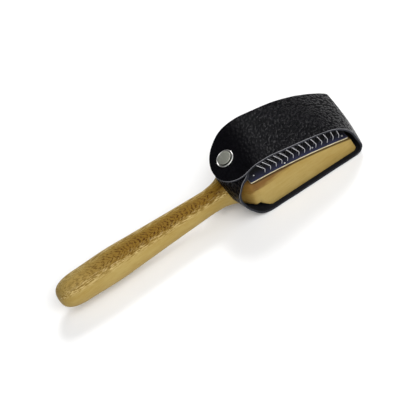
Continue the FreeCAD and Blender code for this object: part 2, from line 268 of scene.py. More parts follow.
@dataclass(frozen=True)
class Pebble:
    """Round pebbles with creases between them, as on tumbled hide."""

    wander_ratio: float = 0.55
    wander_reach: float = 1.4
    middle: Triple = (0.5, 0.5, 0.5)
    drawn_angle: float = 57.0
    drawn_out: Triple = (0.62, 1.0, 1.0)
    softness: float = 0.35
    randomness: float = 0.95
    dome_edges: Pair = (0.1, 0.75)
    fine_ratio: float = 2.2
    fine_share: float = 0.35

    def make(self) -> Tree:
        """Build the group.

        Returns:
            The group.
        """
        inputs = {"Vector": "Vector", "Pebble Size": "Float"}
        bench = GroupBench("Pebble", "ShaderNodeTree", inputs, {"Height": "Float", "Crease": "Float"})
        flat, size = bench.entry["Vector"], bench.entry["Pebble Size"]
        scale = bench.calc("DIVIDE", 1.0, size)
        wander_scale = bench.times(scale, self.wander_ratio)
        wander = bench.add("ShaderNodeTexNoise", {"Vector": flat, "Scale": wander_scale}).outputs["Color"]
        push = bench.vector("SUBTRACT", wander, self.middle)
        pushed = bench.vector("SCALE", push, bench.times(size, self.wander_reach))
        turned_by = {"Vector": bench.vector("ADD", flat, pushed), "Angle": math.radians(self.drawn_angle)}
        drawn = bench.made("ShaderNodeVectorRotate", turned_by, rotation_type="Z_AXIS")
        cells = bench.add("ShaderNodeTexVoronoi", {
            "Vector": bench.stretch(drawn, self.drawn_out), "Scale": scale,
            "Smoothness": self.softness, "Randomness": self.randomness,
        }, feature="SMOOTH_F1", voronoi_dimensions="2D").outputs
        dome = bench.span(cells["Distance"], self.dome_edges, (1.0, 0.0))
        fine = bench.grain(flat, bench.times(scale, self.fine_ratio))
        bench.feed(bench.ends["Height"], bench.scaled(fine, self.fine_share, dome))
        bench.feed(bench.ends["Crease"], bench.less(1.0, dome))
        return bench.tree


class Effects:
    """Shader node groups that several finishes share, each built once."""

    def __init__(self) -> None:
        """Build the groups."""
        self.mottle = Mottle().make()
        self.scratches = Scratches().make()
        self.pebble = Pebble().make()


class MaterialBench(Bench):
    """A material's node tree with its shader and the shared effects."""

    def __init__(self, material: Material, effects: Effects) -> None:
        """Find the shader of a new material."""
        super().__init__(material.node_tree)
        self.shader = material.node_tree.nodes["Principled BSDF"]
        self.effects = effects

    def place(self) -> Socket:
        """Object coordinates."""
        return self.add("ShaderNodeTexCoord").outputs["Object"]

    def give(self, name: str, value: Value) -> None:
        """Set or feed one of the shader's inputs."""
        self.feed(self.shader.inputs[name], value)

    def group(self, tree: Tree, inputs: Inputs) -> Sequence[Socket]:
        """The outputs of a shared node group."""
        return self.add("ShaderNodeGroup", inputs, node_tree=tree).outputs

    def mottle(self, vector: Socket, scale: float) -> Socket:
        """Cloudy variation from zero to one."""
        return self.group(self.effects.mottle, {"Vector": vector, "Scale": scale})[0]

    def bump(self, height: Socket, depth: float, strength: float) -> None:
        """Raise the surface by a depth for each unit of height."""
        inputs = {"Height": height, "Distance": depth, "Strength": strength}
        self.give("Normal", self.made("ShaderNodeBump", inputs))


@dataclass(frozen=True)
class Finish:
    """What every finish has: a name and the settings that are the same all over it."""

    name: str
    roughness: float = 0.5
    metallic: float = 0.0
    specular: float = 0.5
    sheen: float = 0.0

    def make(self, effects: Effects) -> Material:
        """Build the material.

        Args:
            effects: The shared groups.

        Returns:
            The material.
        """
        material = bpy.data.materials.new(self.name)
        material.use_nodes = True
        bench = MaterialBench(material, effects)
        bench.give("Roughness", self.roughness)
        bench.give("Metallic", self.metallic)
        bench.give("Specular IOR Level", self.specular)
        bench.give("Sheen Weight", self.sheen)
        self.paint(bench)
        return material

    def paint(self, bench: MaterialBench) -> None:
        """Add what changes over the surface, which each finish does in its own way."""
        raise NotImplementedError


@dataclass(frozen=True)
class WoodFinish(Finish):
    """Waxed wood whose growth layers lie flat under one dark, flecked streak."""

    pale: Triple = (0.37, 0.272, 0.092)
    golden: Triple = (0.30, 0.203, 0.056)
    brown: Triple = (0.225, 0.132, 0.017)
    streak: Triple = (0.115, 0.050, 0.003)
    mark: Triple = (0.040, 0.012, 0.001)
    fibre: Triple = (0.58, 0.45, 0.20)
    # Colour of a darker red-brown patch behind the pad's rear end.
    rear_patch: Triple = (0.15, 0.072, 0.02)
    # Painted shade colour for the shoulder, where the cover's flap shades it.
    shoulder_shade: Triple = (0.23, 0.125, 0.022)
    # Painted shadow colour for a thin line just below the pad's edge.
    pad_shadow: Triple = (0.05, 0.028, 0.010)
    cloud_scale: float = 90.0
    cloud_stretch: Triple = (0.25, 1.0, 1.0)
    layer_lean: Pair = (-0.36, 0.933)
    layer_tilt: float = -0.2
    layer_depth: float = 0.62 * MM
    layer_wander: float = 3.6
    layer_edges: Pair = (0.0, 0.6)
    band_lean: Pair = (-0.19, 0.982)
    band_wander: float = 0.22
    band_edges: Pair = (0.70, 0.94)
    band_start: Pair = (-100.0 * MM, -45.0 * MM)
    band_at_butt: float = 0.1
    core_edges: Pair = (0.86, 0.99)
    core_share: float = 0.45
    mark_share: float = 0.35
    mark_on_core: float = 0.6
    fleck_share: float = 0.75
    fringe_middle: float = 0.8
    fringe_reach: float = 0.22
    fringe_share: float = 0.7
    light_strokes: Pair = (0.5, 0.62)
    dark_strokes: Pair = (0.38, 0.5)
    pore_share: float = 0.3
    pore_roughness: float = 0.2
    pore_depth: float = 0.05 * MM
    pore_strength: float = 0.6
    # The darker patch behind the pad's rear end, just below its edge.
    rear_patch_length: float = 30.0 * MM
    rear_patch_depth: float = 7.0 * MM
    rear_patch_edges: Pair = (0.3, 0.8)
    rear_patch_share: float = 0.95
    rear_patch_start: Pair = (-11.0 * MM, -7.0 * MM)
    # Where the shoulder's painted shade ends, and how strong it is.
    shoulder_shade_end: Pair = (-5.0 * MM, 3.0 * MM)
    shoulder_shade_share: float = 0.75
    # Where the painted shadow below the pad's edge starts, how deep it reaches and how strong it is.
    pad_shadow_start: Pair = (0.0, 1.0 * MM)
    pad_shadow_depth: Pair = (0.6 * MM, 1.2 * MM)
    pad_shadow_share: float = 0.85
    wander: Speckle = Speckle((150.0, 420.0, 420.0), 4.0, 0.65)
    patches: Speckle = Speckle((60.0, 300.0, 300.0))
    flecks: Speckle = Speckle((380.0, 1100.0, 1100.0), 3.0, 0.65, (0.4, 0.6))
    strokes: Speckle = Speckle((260.0, 1500.0, 1500.0), 2.0, 0.6)
    pores: Speckle = Speckle((130.0, 2600.0, 2600.0), 3.0, 0.65, (0.52, 0.7))
    rear_patch_streaks: Speckle = Speckle((90.0, 500.0, 500.0), 3.0, 0.6)
    body: "WoodenBody | None" = None

    def paint(self, bench: MaterialBench) -> None:
        """Colour the wood with its figure, its pores, a darker patch behind the pad, painted shade and a
        painted shadow.

        Args:
            bench: The material's bench.
        """
        place = bench.place()
        local = bench.stretch(place, (1.0, 1.0, 1.0), (0.0, 0.0, self.body.axis_height))
        pores = self.pores.on(bench, local)
        drawn = bench.stretch(local, self.cloud_stretch)
        cloud = bench.mottle(drawn, self.cloud_scale)
        plain = bench.blend(cloud, self.pale, self.golden)
        color = self.figured(bench, local, pores, plain)
        bench.give("Base Color", self.patched_and_shaded(bench, place, color))
        rough = (self.roughness, self.roughness + self.pore_roughness)
        bench.give("Roughness", bench.span(pores, (0.0, 1.0), rough))
        bench.bump(bench.less(1.0, pores), self.pore_depth, self.pore_strength)

    def figured(self, bench: Bench, local: Socket, pores: Socket, color: Socket) -> Socket:
        """Lay the band, the pores, the band's fringe and the layers' marks over the plain colour.

        Args:
            bench: The material's bench.
            local: Coordinates from the handle's axis.
            pores: Where the pores are.
            color: The wood's colour so far.

        Returns:
            The figured colour.
        """
        axes = bench.axes(local)
        depth = self.leaning(bench, axes, self.layer_lean)
        reach = bench.reach(axes[1], axes[2])
        facing = bench.calc("DIVIDE", self.leaning(bench, axes, self.band_lean), reach)
        uneven = bench.less(self.patches.on(bench, local), 0.5)
        across = bench.span(bench.scaled(uneven, self.band_wander, facing), self.band_edges)
        along = bench.span(axes[0], self.band_start, (self.band_at_butt, 1.0))
        off_band = bench.calc("ABSOLUTE", bench.less(facing, self.fringe_middle))
        fringe = bench.span(off_band, (0.0, self.fringe_reach), (self.fringe_share, 0.0))
        strokes = self.strokes.on(bench, local)
        light = bench.span(strokes, self.light_strokes)
        dark = bench.span(strokes, self.dark_strokes, (1.0, 0.0))
        core = bench.times(bench.span(bench.calc("DIVIDE", depth, reach), self.core_edges), along)
        wide = bench.times(across, bench.scaled(core, self.mark_on_core, self.mark_share))
        marks = bench.times(wide, self.layer_marks(bench, local, axes[0], depth))
        return bench.layered(
            color,
            (bench.times(across, along), self.brown),
            (bench.times(pores, self.pore_share), self.brown),
            (bench.times(fringe, light), self.fibre),
            (bench.times(fringe, dark), self.streak),
            (bench.times(core, self.core_share), self.streak),
            (marks, self.mark),
        )

    @staticmethod
    def leaning(bench: Bench, axes: Sequence[Socket], lean: Pair) -> Socket:
        """How far a place lies along a direction that leans across the handle."""
        return bench.scaled(axes[1], lean[0], bench.times(axes[2], lean[1]))

    def layer_marks(self, bench: Bench, local: Socket, along: Socket, depth: Socket) -> Socket:
        """Lines where the growth layers come to the surface, broken into flecks.

        Args:
            bench: The material's bench.
            local: Coordinates from the handle's axis.
            along: How far along the handle a place is.
            depth: How deep it lies across the layers.

        Returns:
            The lines' share, from zero to one.
        """
        layered = bench.scaled(along, self.layer_tilt, depth)
        wander = self.wander.on(bench, local)
        layered = bench.scaled(wander, self.layer_wander * self.layer_depth, layered)
        wave = bench.calc("SINE", bench.times(layered, math.tau / self.layer_depth))
        broken = bench.scaled(self.flecks.on(bench, local), self.fleck_share, 1 - self.fleck_share)
        return bench.times(bench.span(wave, self.layer_edges), broken)

    def below_face(self, bench: Bench, axes: Sequence[Socket]) -> Socket:
        """How far below the head's crowned face a place lies."""
        face = self.body.face
        reach = bench.reach(bench.less(axes[0], face.centre.x), bench.less(axes[2], face.centre.y))
        return bench.less(face.radius, reach)

    def patched_and_shaded(self, bench: Bench, place: Socket, color: Socket) -> Socket:
        """Darken the wood in a patch behind the pad's rear end, with painted shade on the shoulder and a
        painted shadow along the pad's edge.

        Args:
            bench: The material's bench.
            place: Object coordinates.
            color: The wood's colour so far.

        Returns:
            The darkened colour.
        """
        axes = bench.axes(place)
        # A darker red-brown patch behind the pad's rear end, just below its edge.
        from_rear = bench.less(axes[0], self.body.head_rear_x)
        below = self.below_face(bench, axes)
        streaks = self.rear_patch_streaks.on(bench, place)
        fade = bench.scaled(from_rear, -self.rear_patch_depth / self.rear_patch_length, self.rear_patch_depth)
        edge = bench.less(bench.scaled(streaks, self.rear_patch_depth, below), fade)
        limits = tuple(self.rear_patch_depth * share for share in self.rear_patch_edges)
        patch = bench.span(edge, limits, (self.rear_patch_share, 0.0))
        inside = bench.span(from_rear, self.rear_patch_start)
        # Painted shade: the shoulder is coloured darker, as if shaded by the cover's flap.
        shoulder_shade_mask = bench.span(from_rear, self.shoulder_shade_end, (self.shoulder_shade_share, 0.0))
        # Painted shadow: a dark line just below the pad's edge along the head, as if cast by the pad's
        # overhang.
        on_head = bench.span(from_rear, self.pad_shadow_start, (0.0, self.pad_shadow_share))
        pad_shadow = bench.span(below, self.pad_shadow_depth, (1.0, 0.0))
        return bench.layered(
            color,
            (bench.times(patch, inside), self.rear_patch),
            (bench.times(shoulder_shade_mask, inside), self.shoulder_shade),
            (bench.times(pad_shadow, on_head), self.pad_shadow),
        )


class Side(Enum):
    """The surfaces that a strip of leather shows, in the order of its material slots."""

    GRAIN = 0
    # The cut edge's outer corner, coloured light grey as a painted highlight.
    CORNER = 1
    CUT = 2
    FLESH = 3


@dataclass(frozen=True)
class LeatherFinish(Finish):
    """Black pebbled leather, with its cut edges, corners coloured light as a painted highlight, and flesh
    side.
    """

    FLAT_MAP = "flat"

    side: Side = Side.GRAIN
    dark: Triple = BLACK
    light: Triple = BLACK
    dye_scale: float = 70.0
    pebble_size: float = 1.5 * MM
    pebble_edges: Pair = (0.2, 1.1)
    # How much darker the creases between pebbles are painted, as shade.
    crease_shade_share: float = 0.6
    worn_stretch: Pair = (178.0 * MM, 206.0 * MM)
    worn_share: float = 0.4
    polish: float = 0.07
    fibre_scale: float = 2600.0
    fibre_noise: Pair = (4.0, 0.7)
    fibre_edges: Pair = (0.3, 0.7)
    dullness: float = 0.15
    relief: float = 0.4 * MM
    relief_strength: float = 0.8

    def paint(self, bench: MaterialBench) -> None:
        """Colour and raise the leather on the strip's own flat coordinates.

        Args:
            bench: The material's bench.
        """
        flat = bench.made("ShaderNodeUVMap", uv_map=self.FLAT_MAP)
        dye = bench.mottle(flat, self.dye_scale)
        color = bench.blend(dye, self.dark, self.light)
        dull = self.roughness + self.dullness
        if self.side is Side.GRAIN:
            pebble = bench.group(bench.effects.pebble, {"Vector": flat, "Pebble Size": self.pebble_size})
            # Painted shade: the creases between the pebbles are coloured darker.
            color = bench.blend(bench.times(pebble["Crease"], self.crease_shade_share), color, self.dark)
            kept = bench.span(bench.axes(flat)[0], self.worn_stretch, (1.0, self.worn_share))
            height = bench.times(pebble["Height"], kept)
            rough = bench.span(height, self.pebble_edges, (dull, self.roughness))
            shine = bench.span(height, self.pebble_edges, (self.specular, self.polish))
            bench.give("Specular IOR Level", shine)
        else:
            height = bench.grain(flat, self.fibre_scale, *self.fibre_noise)
            rough = bench.span(height, self.fibre_edges, (self.roughness, dull))
        bench.give("Base Color", color)
        bench.give("Roughness", rough)
        bench.bump(height, self.relief, self.relief_strength)


@dataclass(frozen=True)
class MetalFinish(Finish):
    """Plated or drawn metal with hairlines; satin where the mesh is marked so, with painted shade where it
    is marked for that, and painted shade towards the pad's middle where so set.
    """

    SATIN = "satin"
    PAINTED_SHADE = "grime"

    color: Triple = (0.74, 0.72, 0.68)
    tarnish: Triple = (0.5, 0.47, 0.42)
    tarnish_scale: float = 420.0
    tarnish_share: float = 0.5
    hairline_scale: float = 3200.0
    hairline_roughness: float = 0.12
    hairline_depth: float = 0.01 * MM
    hairline_strength: float = 0.4
    marked: bool = False
    satin_roughness: float = 0.5
    satin_color: Triple = (0.43, 0.44, 0.38)
    # Near-black colour painted as shade where the mesh is marked for it.
    grime: Triple = (0.05, 0.05, 0.045)
    # Painted shade: where across the pad the colour darkens towards the middle, as if shaded by the cover.
    lit_edge: Pair | None = None
    shade: float = 0.12

    def paint(self, bench: MaterialBench) -> None:
        """Colour and scratch the metal.

        Args:
            bench: The material's bench.
        """
        place = bench.place()
        hairs = bench.group(bench.effects.scratches, {"Vector": place, "Scale": self.hairline_scale})
        cloud = bench.mottle(place, self.tarnish_scale)
        color = bench.blend(bench.times(cloud, self.tarnish_share), self.color, self.tarnish)
        rough = bench.scaled(hairs["Mask"], self.hairline_roughness, self.roughness)
        if self.marked:
            satin = self.share_of(bench, self.SATIN)
            rough = bench.calc("MAXIMUM", rough, bench.times(satin, self.satin_roughness))
            brushed = bench.blend(hairs["Mask"], self.satin_color, self.tarnish)
            # Painted shade: the marked side wall of the cap's raised ground is coloured near black.
            shaded_wall = self.share_of(bench, self.PAINTED_SHADE)
            color = bench.layered(color, (satin, brushed), (shaded_wall, self.grime))
        # Painted shade: the metal is coloured darker towards the pad's middle, as if shaded by the cover.
        if self.lit_edge:
            across = bench.calc("ABSOLUTE", bench.axes(place)[1])
            depth = bench.span(across, self.lit_edge, (1.0, 0.0))
            color = bench.blend(bench.times(depth, 1.0 - self.shade), color, BLACK)
        bench.give("Base Color", color)
        bench.give("Roughness", rough)
        bench.bump(hairs["Height"], self.hairline_depth, self.hairline_strength)

    @staticmethod
    def share_of(bench: Bench, mark: str) -> Socket:
        """How strongly the mesh is marked, from zero to one."""
        return bench.add("ShaderNodeAttribute", attribute_name=mark).outputs["Fac"]


class PadLayer(Enum):
    """The two layers of the wire pad."""

    CLOTH = "woven backing"
    FACE = "felted face"


@dataclass(frozen=True)
class PadFinish(Finish):
    """A layer of the wire pad: its woven backing or its felted face."""

    layer: PadLayer = PadLayer.CLOTH
    dark: Triple = (0.36, 0.30, 0.17)
    light: Triple = (0.70, 0.63, 0.42)
    cloud_scale: float = 260.0
    cloud_share: float = 0.5
    thread: float = 0.55 * MM
    felt_scale: float = 2200.0
    felt_noise: Pair = (5.0, 0.75)
    # Across the pad, where the felt comes out of its painted shade.
    painted_shade_edges: Pair = (10.5 * MM, 16.5 * MM)
    rubbed: float = 0.12
    relief: float = 0.12 * MM
    relief_strength: float = 0.7

    def paint(self, bench: MaterialBench) -> None:
        """Colour and raise the layer.

        Args:
            bench: The material's bench.
        """
        place = bench.place()
        axes = bench.axes(place)
        cloud = bench.mottle(place, self.cloud_scale)
        if self.layer is PadLayer.CLOTH:
            height = self.weave(bench, axes)
        else:
            height = bench.grain(place, self.felt_scale, *self.felt_noise)
        share = bench.scaled(cloud, self.cloud_share, bench.times(height, 1 - self.cloud_share))
        # Painted shade: the felt is coloured near black towards the pad's middle and keeps its navy near the
        # edges.
        if self.layer is PadLayer.FACE:
            out_of_shade = bench.span(bench.calc("ABSOLUTE", axes[1]), self.painted_shade_edges)
            share = bench.times(share, out_of_shade)
        bench.give("Base Color", bench.blend(share, self.dark, self.light))
        rough = (self.roughness, self.roughness - self.rubbed)
        bench.give("Roughness", bench.span(height, (0.0, 1.0), rough))
        bench.bump(height, self.relief, self.relief_strength)

    def weave(self, bench: Bench, axes: Sequence[Socket]) -> Socket:
        """The height of a plain weave, from zero to one."""
        ways = (axes[0], bench.calc("ADD", axes[1], axes[2]))
        warp, weft = (bench.calc("SINE", bench.times(way, math.tau / self.thread)) for way in ways)
        return bench.scaled(bench.times(warp, weft), 0.5, 0.5)


@dataclass(frozen=True)
class FloorFinish(Finish):
    """A plain pale studio floor."""

    pale: Triple = (0.93, 0.93, 0.93)
    shade: Triple = (0.90, 0.90, 0.90)
    cloud_scale: float = 3.0

    def paint(self, bench: MaterialBench) -> None:
        """Colour the floor a little unevenly."""
        cloud = bench.mottle(bench.place(), self.cloud_scale)
        bench.give("Base Color", bench.blend(cloud, self.pale, self.shade))


class Finishes:
    """Every material of the brush, made once."""

    def __init__(self, body: "WoodenBody") -> None:
        """Make the materials, with the wood's darker patch, painted shade and painted shadow placed where
        that body has them.

        Args:
            body: The wood.
        """
        effects = Effects()
        self.wood = WoodFinish("waxed_wood", roughness=0.5, specular=0.06, body=body).make(effects)
        self.leather = [finish.make(effects) for finish in (
            LeatherFinish("leather_grain", roughness=0.27, specular=0.025, side=Side.GRAIN,
                          dark=(0.0016, 0.0016, 0.0021), light=(0.0034, 0.0032, 0.0046)),
            # Painted highlight: the cut edge's outer corner is coloured light grey, as if catching the
            # light.
            LeatherFinish("leather_rubbed_corner", roughness=0.6, specular=0.3, side=Side.CORNER,
                          dark=(0.10, 0.10, 0.108), light=(0.21, 0.21, 0.22), relief=0.06 * MM),
            LeatherFinish("leather_cut_edge", roughness=0.6, specular=0.15, side=Side.CUT,
                          dark=(0.007, 0.008, 0.011), light=(0.018, 0.019, 0.026), relief=0.1 * MM),
            LeatherFinish("leather_flesh", roughness=0.85, specular=0.1, side=Side.FLESH,
                          dark=(0.004, 0.004, 0.005), light=(0.010, 0.010, 0.012), relief=0.12 * MM),
        )]
        self.nickel_cap = MetalFinish("nickel_cap", roughness=0.3, metallic=1.0, marked=True,
                                      color=(0.86, 0.85, 0.82), tarnish=(0.7, 0.69, 0.66)).make(effects)
        self.nickel = MetalFinish("nickel", roughness=0.24, metallic=1.0).make(effects)
        # The wires get painted shade towards the pad's middle.
        self.wire = MetalFinish("drawn_steel_wire", roughness=0.45, metallic=0.55,
                                color=(0.62, 0.62, 0.65), tarnish=(0.46, 0.46, 0.48),
                                lit_edge=(12.6 * MM, 15.6 * MM), shade=0.16).make(effects)
        self.tack = MetalFinish("bright_tack", roughness=0.3, metallic=1.0,
                                color=(0.7, 0.7, 0.7), tarnish=(0.45, 0.45, 0.45)).make(effects)
        self.cloth = PadFinish("pad_cloth_weave", roughness=0.9, specular=0.2, sheen=0.1).make(effects)
        self.face = PadFinish("pad_face_felt", roughness=0.88, specular=0.25, sheen=0.15,
                              layer=PadLayer.FACE, dark=(0.0018, 0.0018, 0.0032),
                              light=(0.02, 0.023, 0.068)).make(effects)
        self.floor = FloorFinish("studio_floor", roughness=0.8, specular=0.2).make(effects)


class Joining(Enum):
    """How one solid is combined with another."""

    UNION = "UNION"
    DIFFERENCE = "DIFFERENCE"


def new_object(name: str, mesh: Mesh) -> Item:
    """Put a mesh in the scene under a name.

    Args:
        name: The name of the mesh and the object.
        mesh: The mesh.

    Returns:
        The object.
    """
    mesh.name = name
    item = bpy.data.objects.new(name, mesh)
    bpy.context.scene.collection.objects.link(item)
    return item


@contextmanager
def reworked(mesh: Mesh) -> Iterator[bmesh.types.BMesh]:
    """Open a mesh for changes, and write it back at the end.

    Args:
        mesh: The mesh.

    Yields:
        The open mesh.
    """
    work = bmesh.new()
    work.from_mesh(mesh)
    yield work
    work.to_mesh(mesh)
    work.free()


def mesh_from(name: str, points: Sequence[Vector], faces: Sequence[Sequence[int]]) -> Mesh:
    """A mesh with merged doubles and outward normals.

    Args:
        name: The mesh's name.
        points: Its vertices.
        faces: Its faces as vertex numbers.

    Returns:
        The mesh.
    """
    mesh = bpy.data.meshes.new(name)
    mesh.from_pydata([tuple(point) for point in points], [], faces)
    with reworked(mesh) as work:
        bmesh.ops.remove_doubles(work, verts=work.verts, dist=1e-7)
        bmesh.ops.recalc_face_normals(work, faces=work.faces)
    return mesh


def smooth_by_angle(mesh: Mesh, limit: float = 34.0) -> None:
    """Shade a mesh smooth, apart from edges that turn by more than an angle in degrees.

    Args:
        mesh: The mesh.
        limit: The angle.
    """
    with reworked(mesh) as work:
        for face in work.faces:
            face.smooth = True
        for edge in work.edges:
            edge.smooth = len(edge.link_faces) == 2 and edge.calc_face_angle(0.0) < math.radians(limit)


def settle(item: Item) -> Item:
    """Turn an object's modifiers into plain mesh.

    Args:
        item: The object.

    Returns:
        The same object, with no modifiers.
    """
    graph = bpy.context.evaluated_depsgraph_get()
    source = item.evaluated_get(graph)
    made = bpy.data.meshes.new_from_object(source, preserve_all_data_layers=True, depsgraph=graph)
    old = item.data
    item.modifiers.clear()
    item.data = made
    made.name = item.name
    bpy.data.meshes.remove(old)
    return item


def combine(item: Item, tool: Item, joining: Joining) -> None:
    """Join to an object, or cut from it, another one, which is then removed.

    Args:
        item: The object that stays.
        tool: The object that joins or cuts.
        joining: Which of the two it does.
    """
    modifier = item.modifiers.new("combine", "BOOLEAN")
    modifier.operation = joining.value
    modifier.solver = "EXACT"
    modifier.object = tool
    modifier.material_mode = "INDEX"
    settle(item)
    bpy.data.objects.remove(tool)


def wall_faces(rows: int, count: int) -> list[list[int]]:
    """Quads round a row of closed rings of equal count.

    Args:
        rows: How many rings there are.
        count: How many points each has.

    Returns:
        The faces as point numbers.
    """
    faces = []
    for low in range(0, (rows - 1) * count, count):
        high = low + count
        for column in range(count):
            after = (column + 1) % count
            faces.append([low + column, low + after, high + after, high + column])
    return faces


def skin_rings(rings: Sequence[Sequence[Vector]]) -> tuple[list[Vector], list[list[int]]]:
    """Faces round a row of closed rings of equal count, with a flat end at each side.

    Args:
        rings: The rings, each a list of points.

    Returns:
        Points and faces.
    """
    count = len(rings[0])
    points = [point for ring in rings for point in ring]
    ends = [list(range(count))[::-1], list(range(len(points) - count, len(points)))]
    return points, ends + wall_faces(len(rings), count)


def turned(name: str, outline: Sequence[Pair], segments: int, place: Matrix) -> Mesh:
    """A solid turned about its own Z from an outline that starts and ends on the axis.

    Args:
        name: The mesh's name.
        outline: Radius and height of each point.
        segments: How many sides the solid has.
        place: Where the solid stands.

    Returns:
        The mesh.
    """
    turns = [math.tau * step / segments for step in range(segments)]
    rings = [
        [place @ Vector((radius * math.cos(turn), radius * math.sin(turn), height)) for turn in turns]
        for radius, height in outline
    ]
    mesh = mesh_from(name, *skin_rings(rings))
    smooth_by_angle(mesh)
    return mesh


def arc_points(centre: Pair, radius: float, start: float, stop: float, steps: int) -> list[Pair]:
    """Points on an arc in even steps from one angle to another, in degrees, both ends included."""
    turns = [math.radians(start + (stop - start) * step / steps) for step in range(steps + 1)]
    return [(centre[0] + radius * math.cos(turn), centre[1] + radius * math.sin(turn)) for turn in turns]


def quarter_turns(steps: int, first: int = 0) -> list[float]:
    """Even steps through a quarter of a turn, from a first one."""
    return [math.pi / 2 * step / steps for step in range(first, steps + 1)]


def eased_step(value: float, low: float, high: float) -> float:
    """A smooth step from zero at one value to one at another."""
    share = min(1.0, max(0.0, (value - low) / (high - low)))
    return share * share * (3 - 2 * share)


@dataclass(frozen=True)
class Wobble:
    """A gentle unevenness by place, of up to a size either way."""

    size: float
    pitches: tuple[float, ...]
    seed: float = 0.0

    def at(self, *place: float) -> float:
        """How far a surface wanders at a place."""
        scaled = [spot * pitch for spot, pitch in zip(place, self.pitches)]
        x, y, z = (*scaled, 0.0, 0.0)[:3]
        return self.size * noise.noise(Vector((x, y, z + self.seed)))


class SmoothCurve:
    """A curve through knots that never swings past them, level beyond its last one."""

    def __init__(self, knots: Sequence[Pair]) -> None:
        """Find the curve's slope at each knot.

        Args:
            knots: Places and values, in order of place.
        """
        self.knots = list(knots)
        slopes = [(b[1] - a[1]) / (b[0] - a[0]) for a, b in zip(self.knots, self.knots[1:])]
        self.leans = [slopes[0]]
        for before, after in zip(slopes, slopes[1:]):
            self.leans.append(0.0 if before * after <= 0 else 2 * before * after / (before + after))
        self.leans.append(0.0)

    def at(self, place: float) -> float:
        """The curve's value at a place.

        Args:
            place: The place.

        Returns:
            The value.
        """
        index = max(0, sum(knot[0] <= place for knot in self.knots[:-1]) - 1)
        (low, start), (high, stop) = self.knots[index:index + 2]
        width = high - low
        t = min(1.0, max(0.0, (place - low) / width))
        rise = start * (2 * t ** 3 - 3 * t ** 2 + 1) + stop * (3 * t ** 2 - 2 * t ** 3)
        swing = self.leans[index] * (t ** 3 - 2 * t ** 2 + t) + self.leans[index + 1] * (t ** 3 - t ** 2)
        return rise + swing * width


class CrownedFace:
    """The wire side of the head: a shallow arc from its rear edge to its front edge."""

    def __init__(self, rear: Pair, front: Pair, crown: float) -> None:
        """Find the arc.

        Args:
            rear: The rear edge in XZ.
            front: The front edge in XZ.
            crown: How far the arc rises above the chord between them.
        """
        chord = Vector(front) - Vector(rear)
        half = chord.length / 2
        self.radius = (half ** 2 + crown ** 2) / (2 * crown)
        self.length = 2 * self.radius * math.asin(half / self.radius)
        self.slope = math.atan2(-chord.y, chord.x)
        upward = Vector((math.sin(self.slope), math.cos(self.slope)))
        self.centre = (Vector(rear) + Vector(front)) / 2 + upward * (crown - self.radius)

    def at(self, along: float, height: float = 0.0) -> Pair:
        """The X and Z of a place on the face, or above it.

        Args:
            along: How far along the arc it is, from the rear edge.
            height: How far above the arc it is.

        Returns:
            The place's X and Z.
        """
        turn = self.slope + (along - self.length / 2) / self.radius
        spot = self.centre + Vector((math.sin(turn), math.cos(turn))) * (self.radius + height)
        return spot.x, spot.y


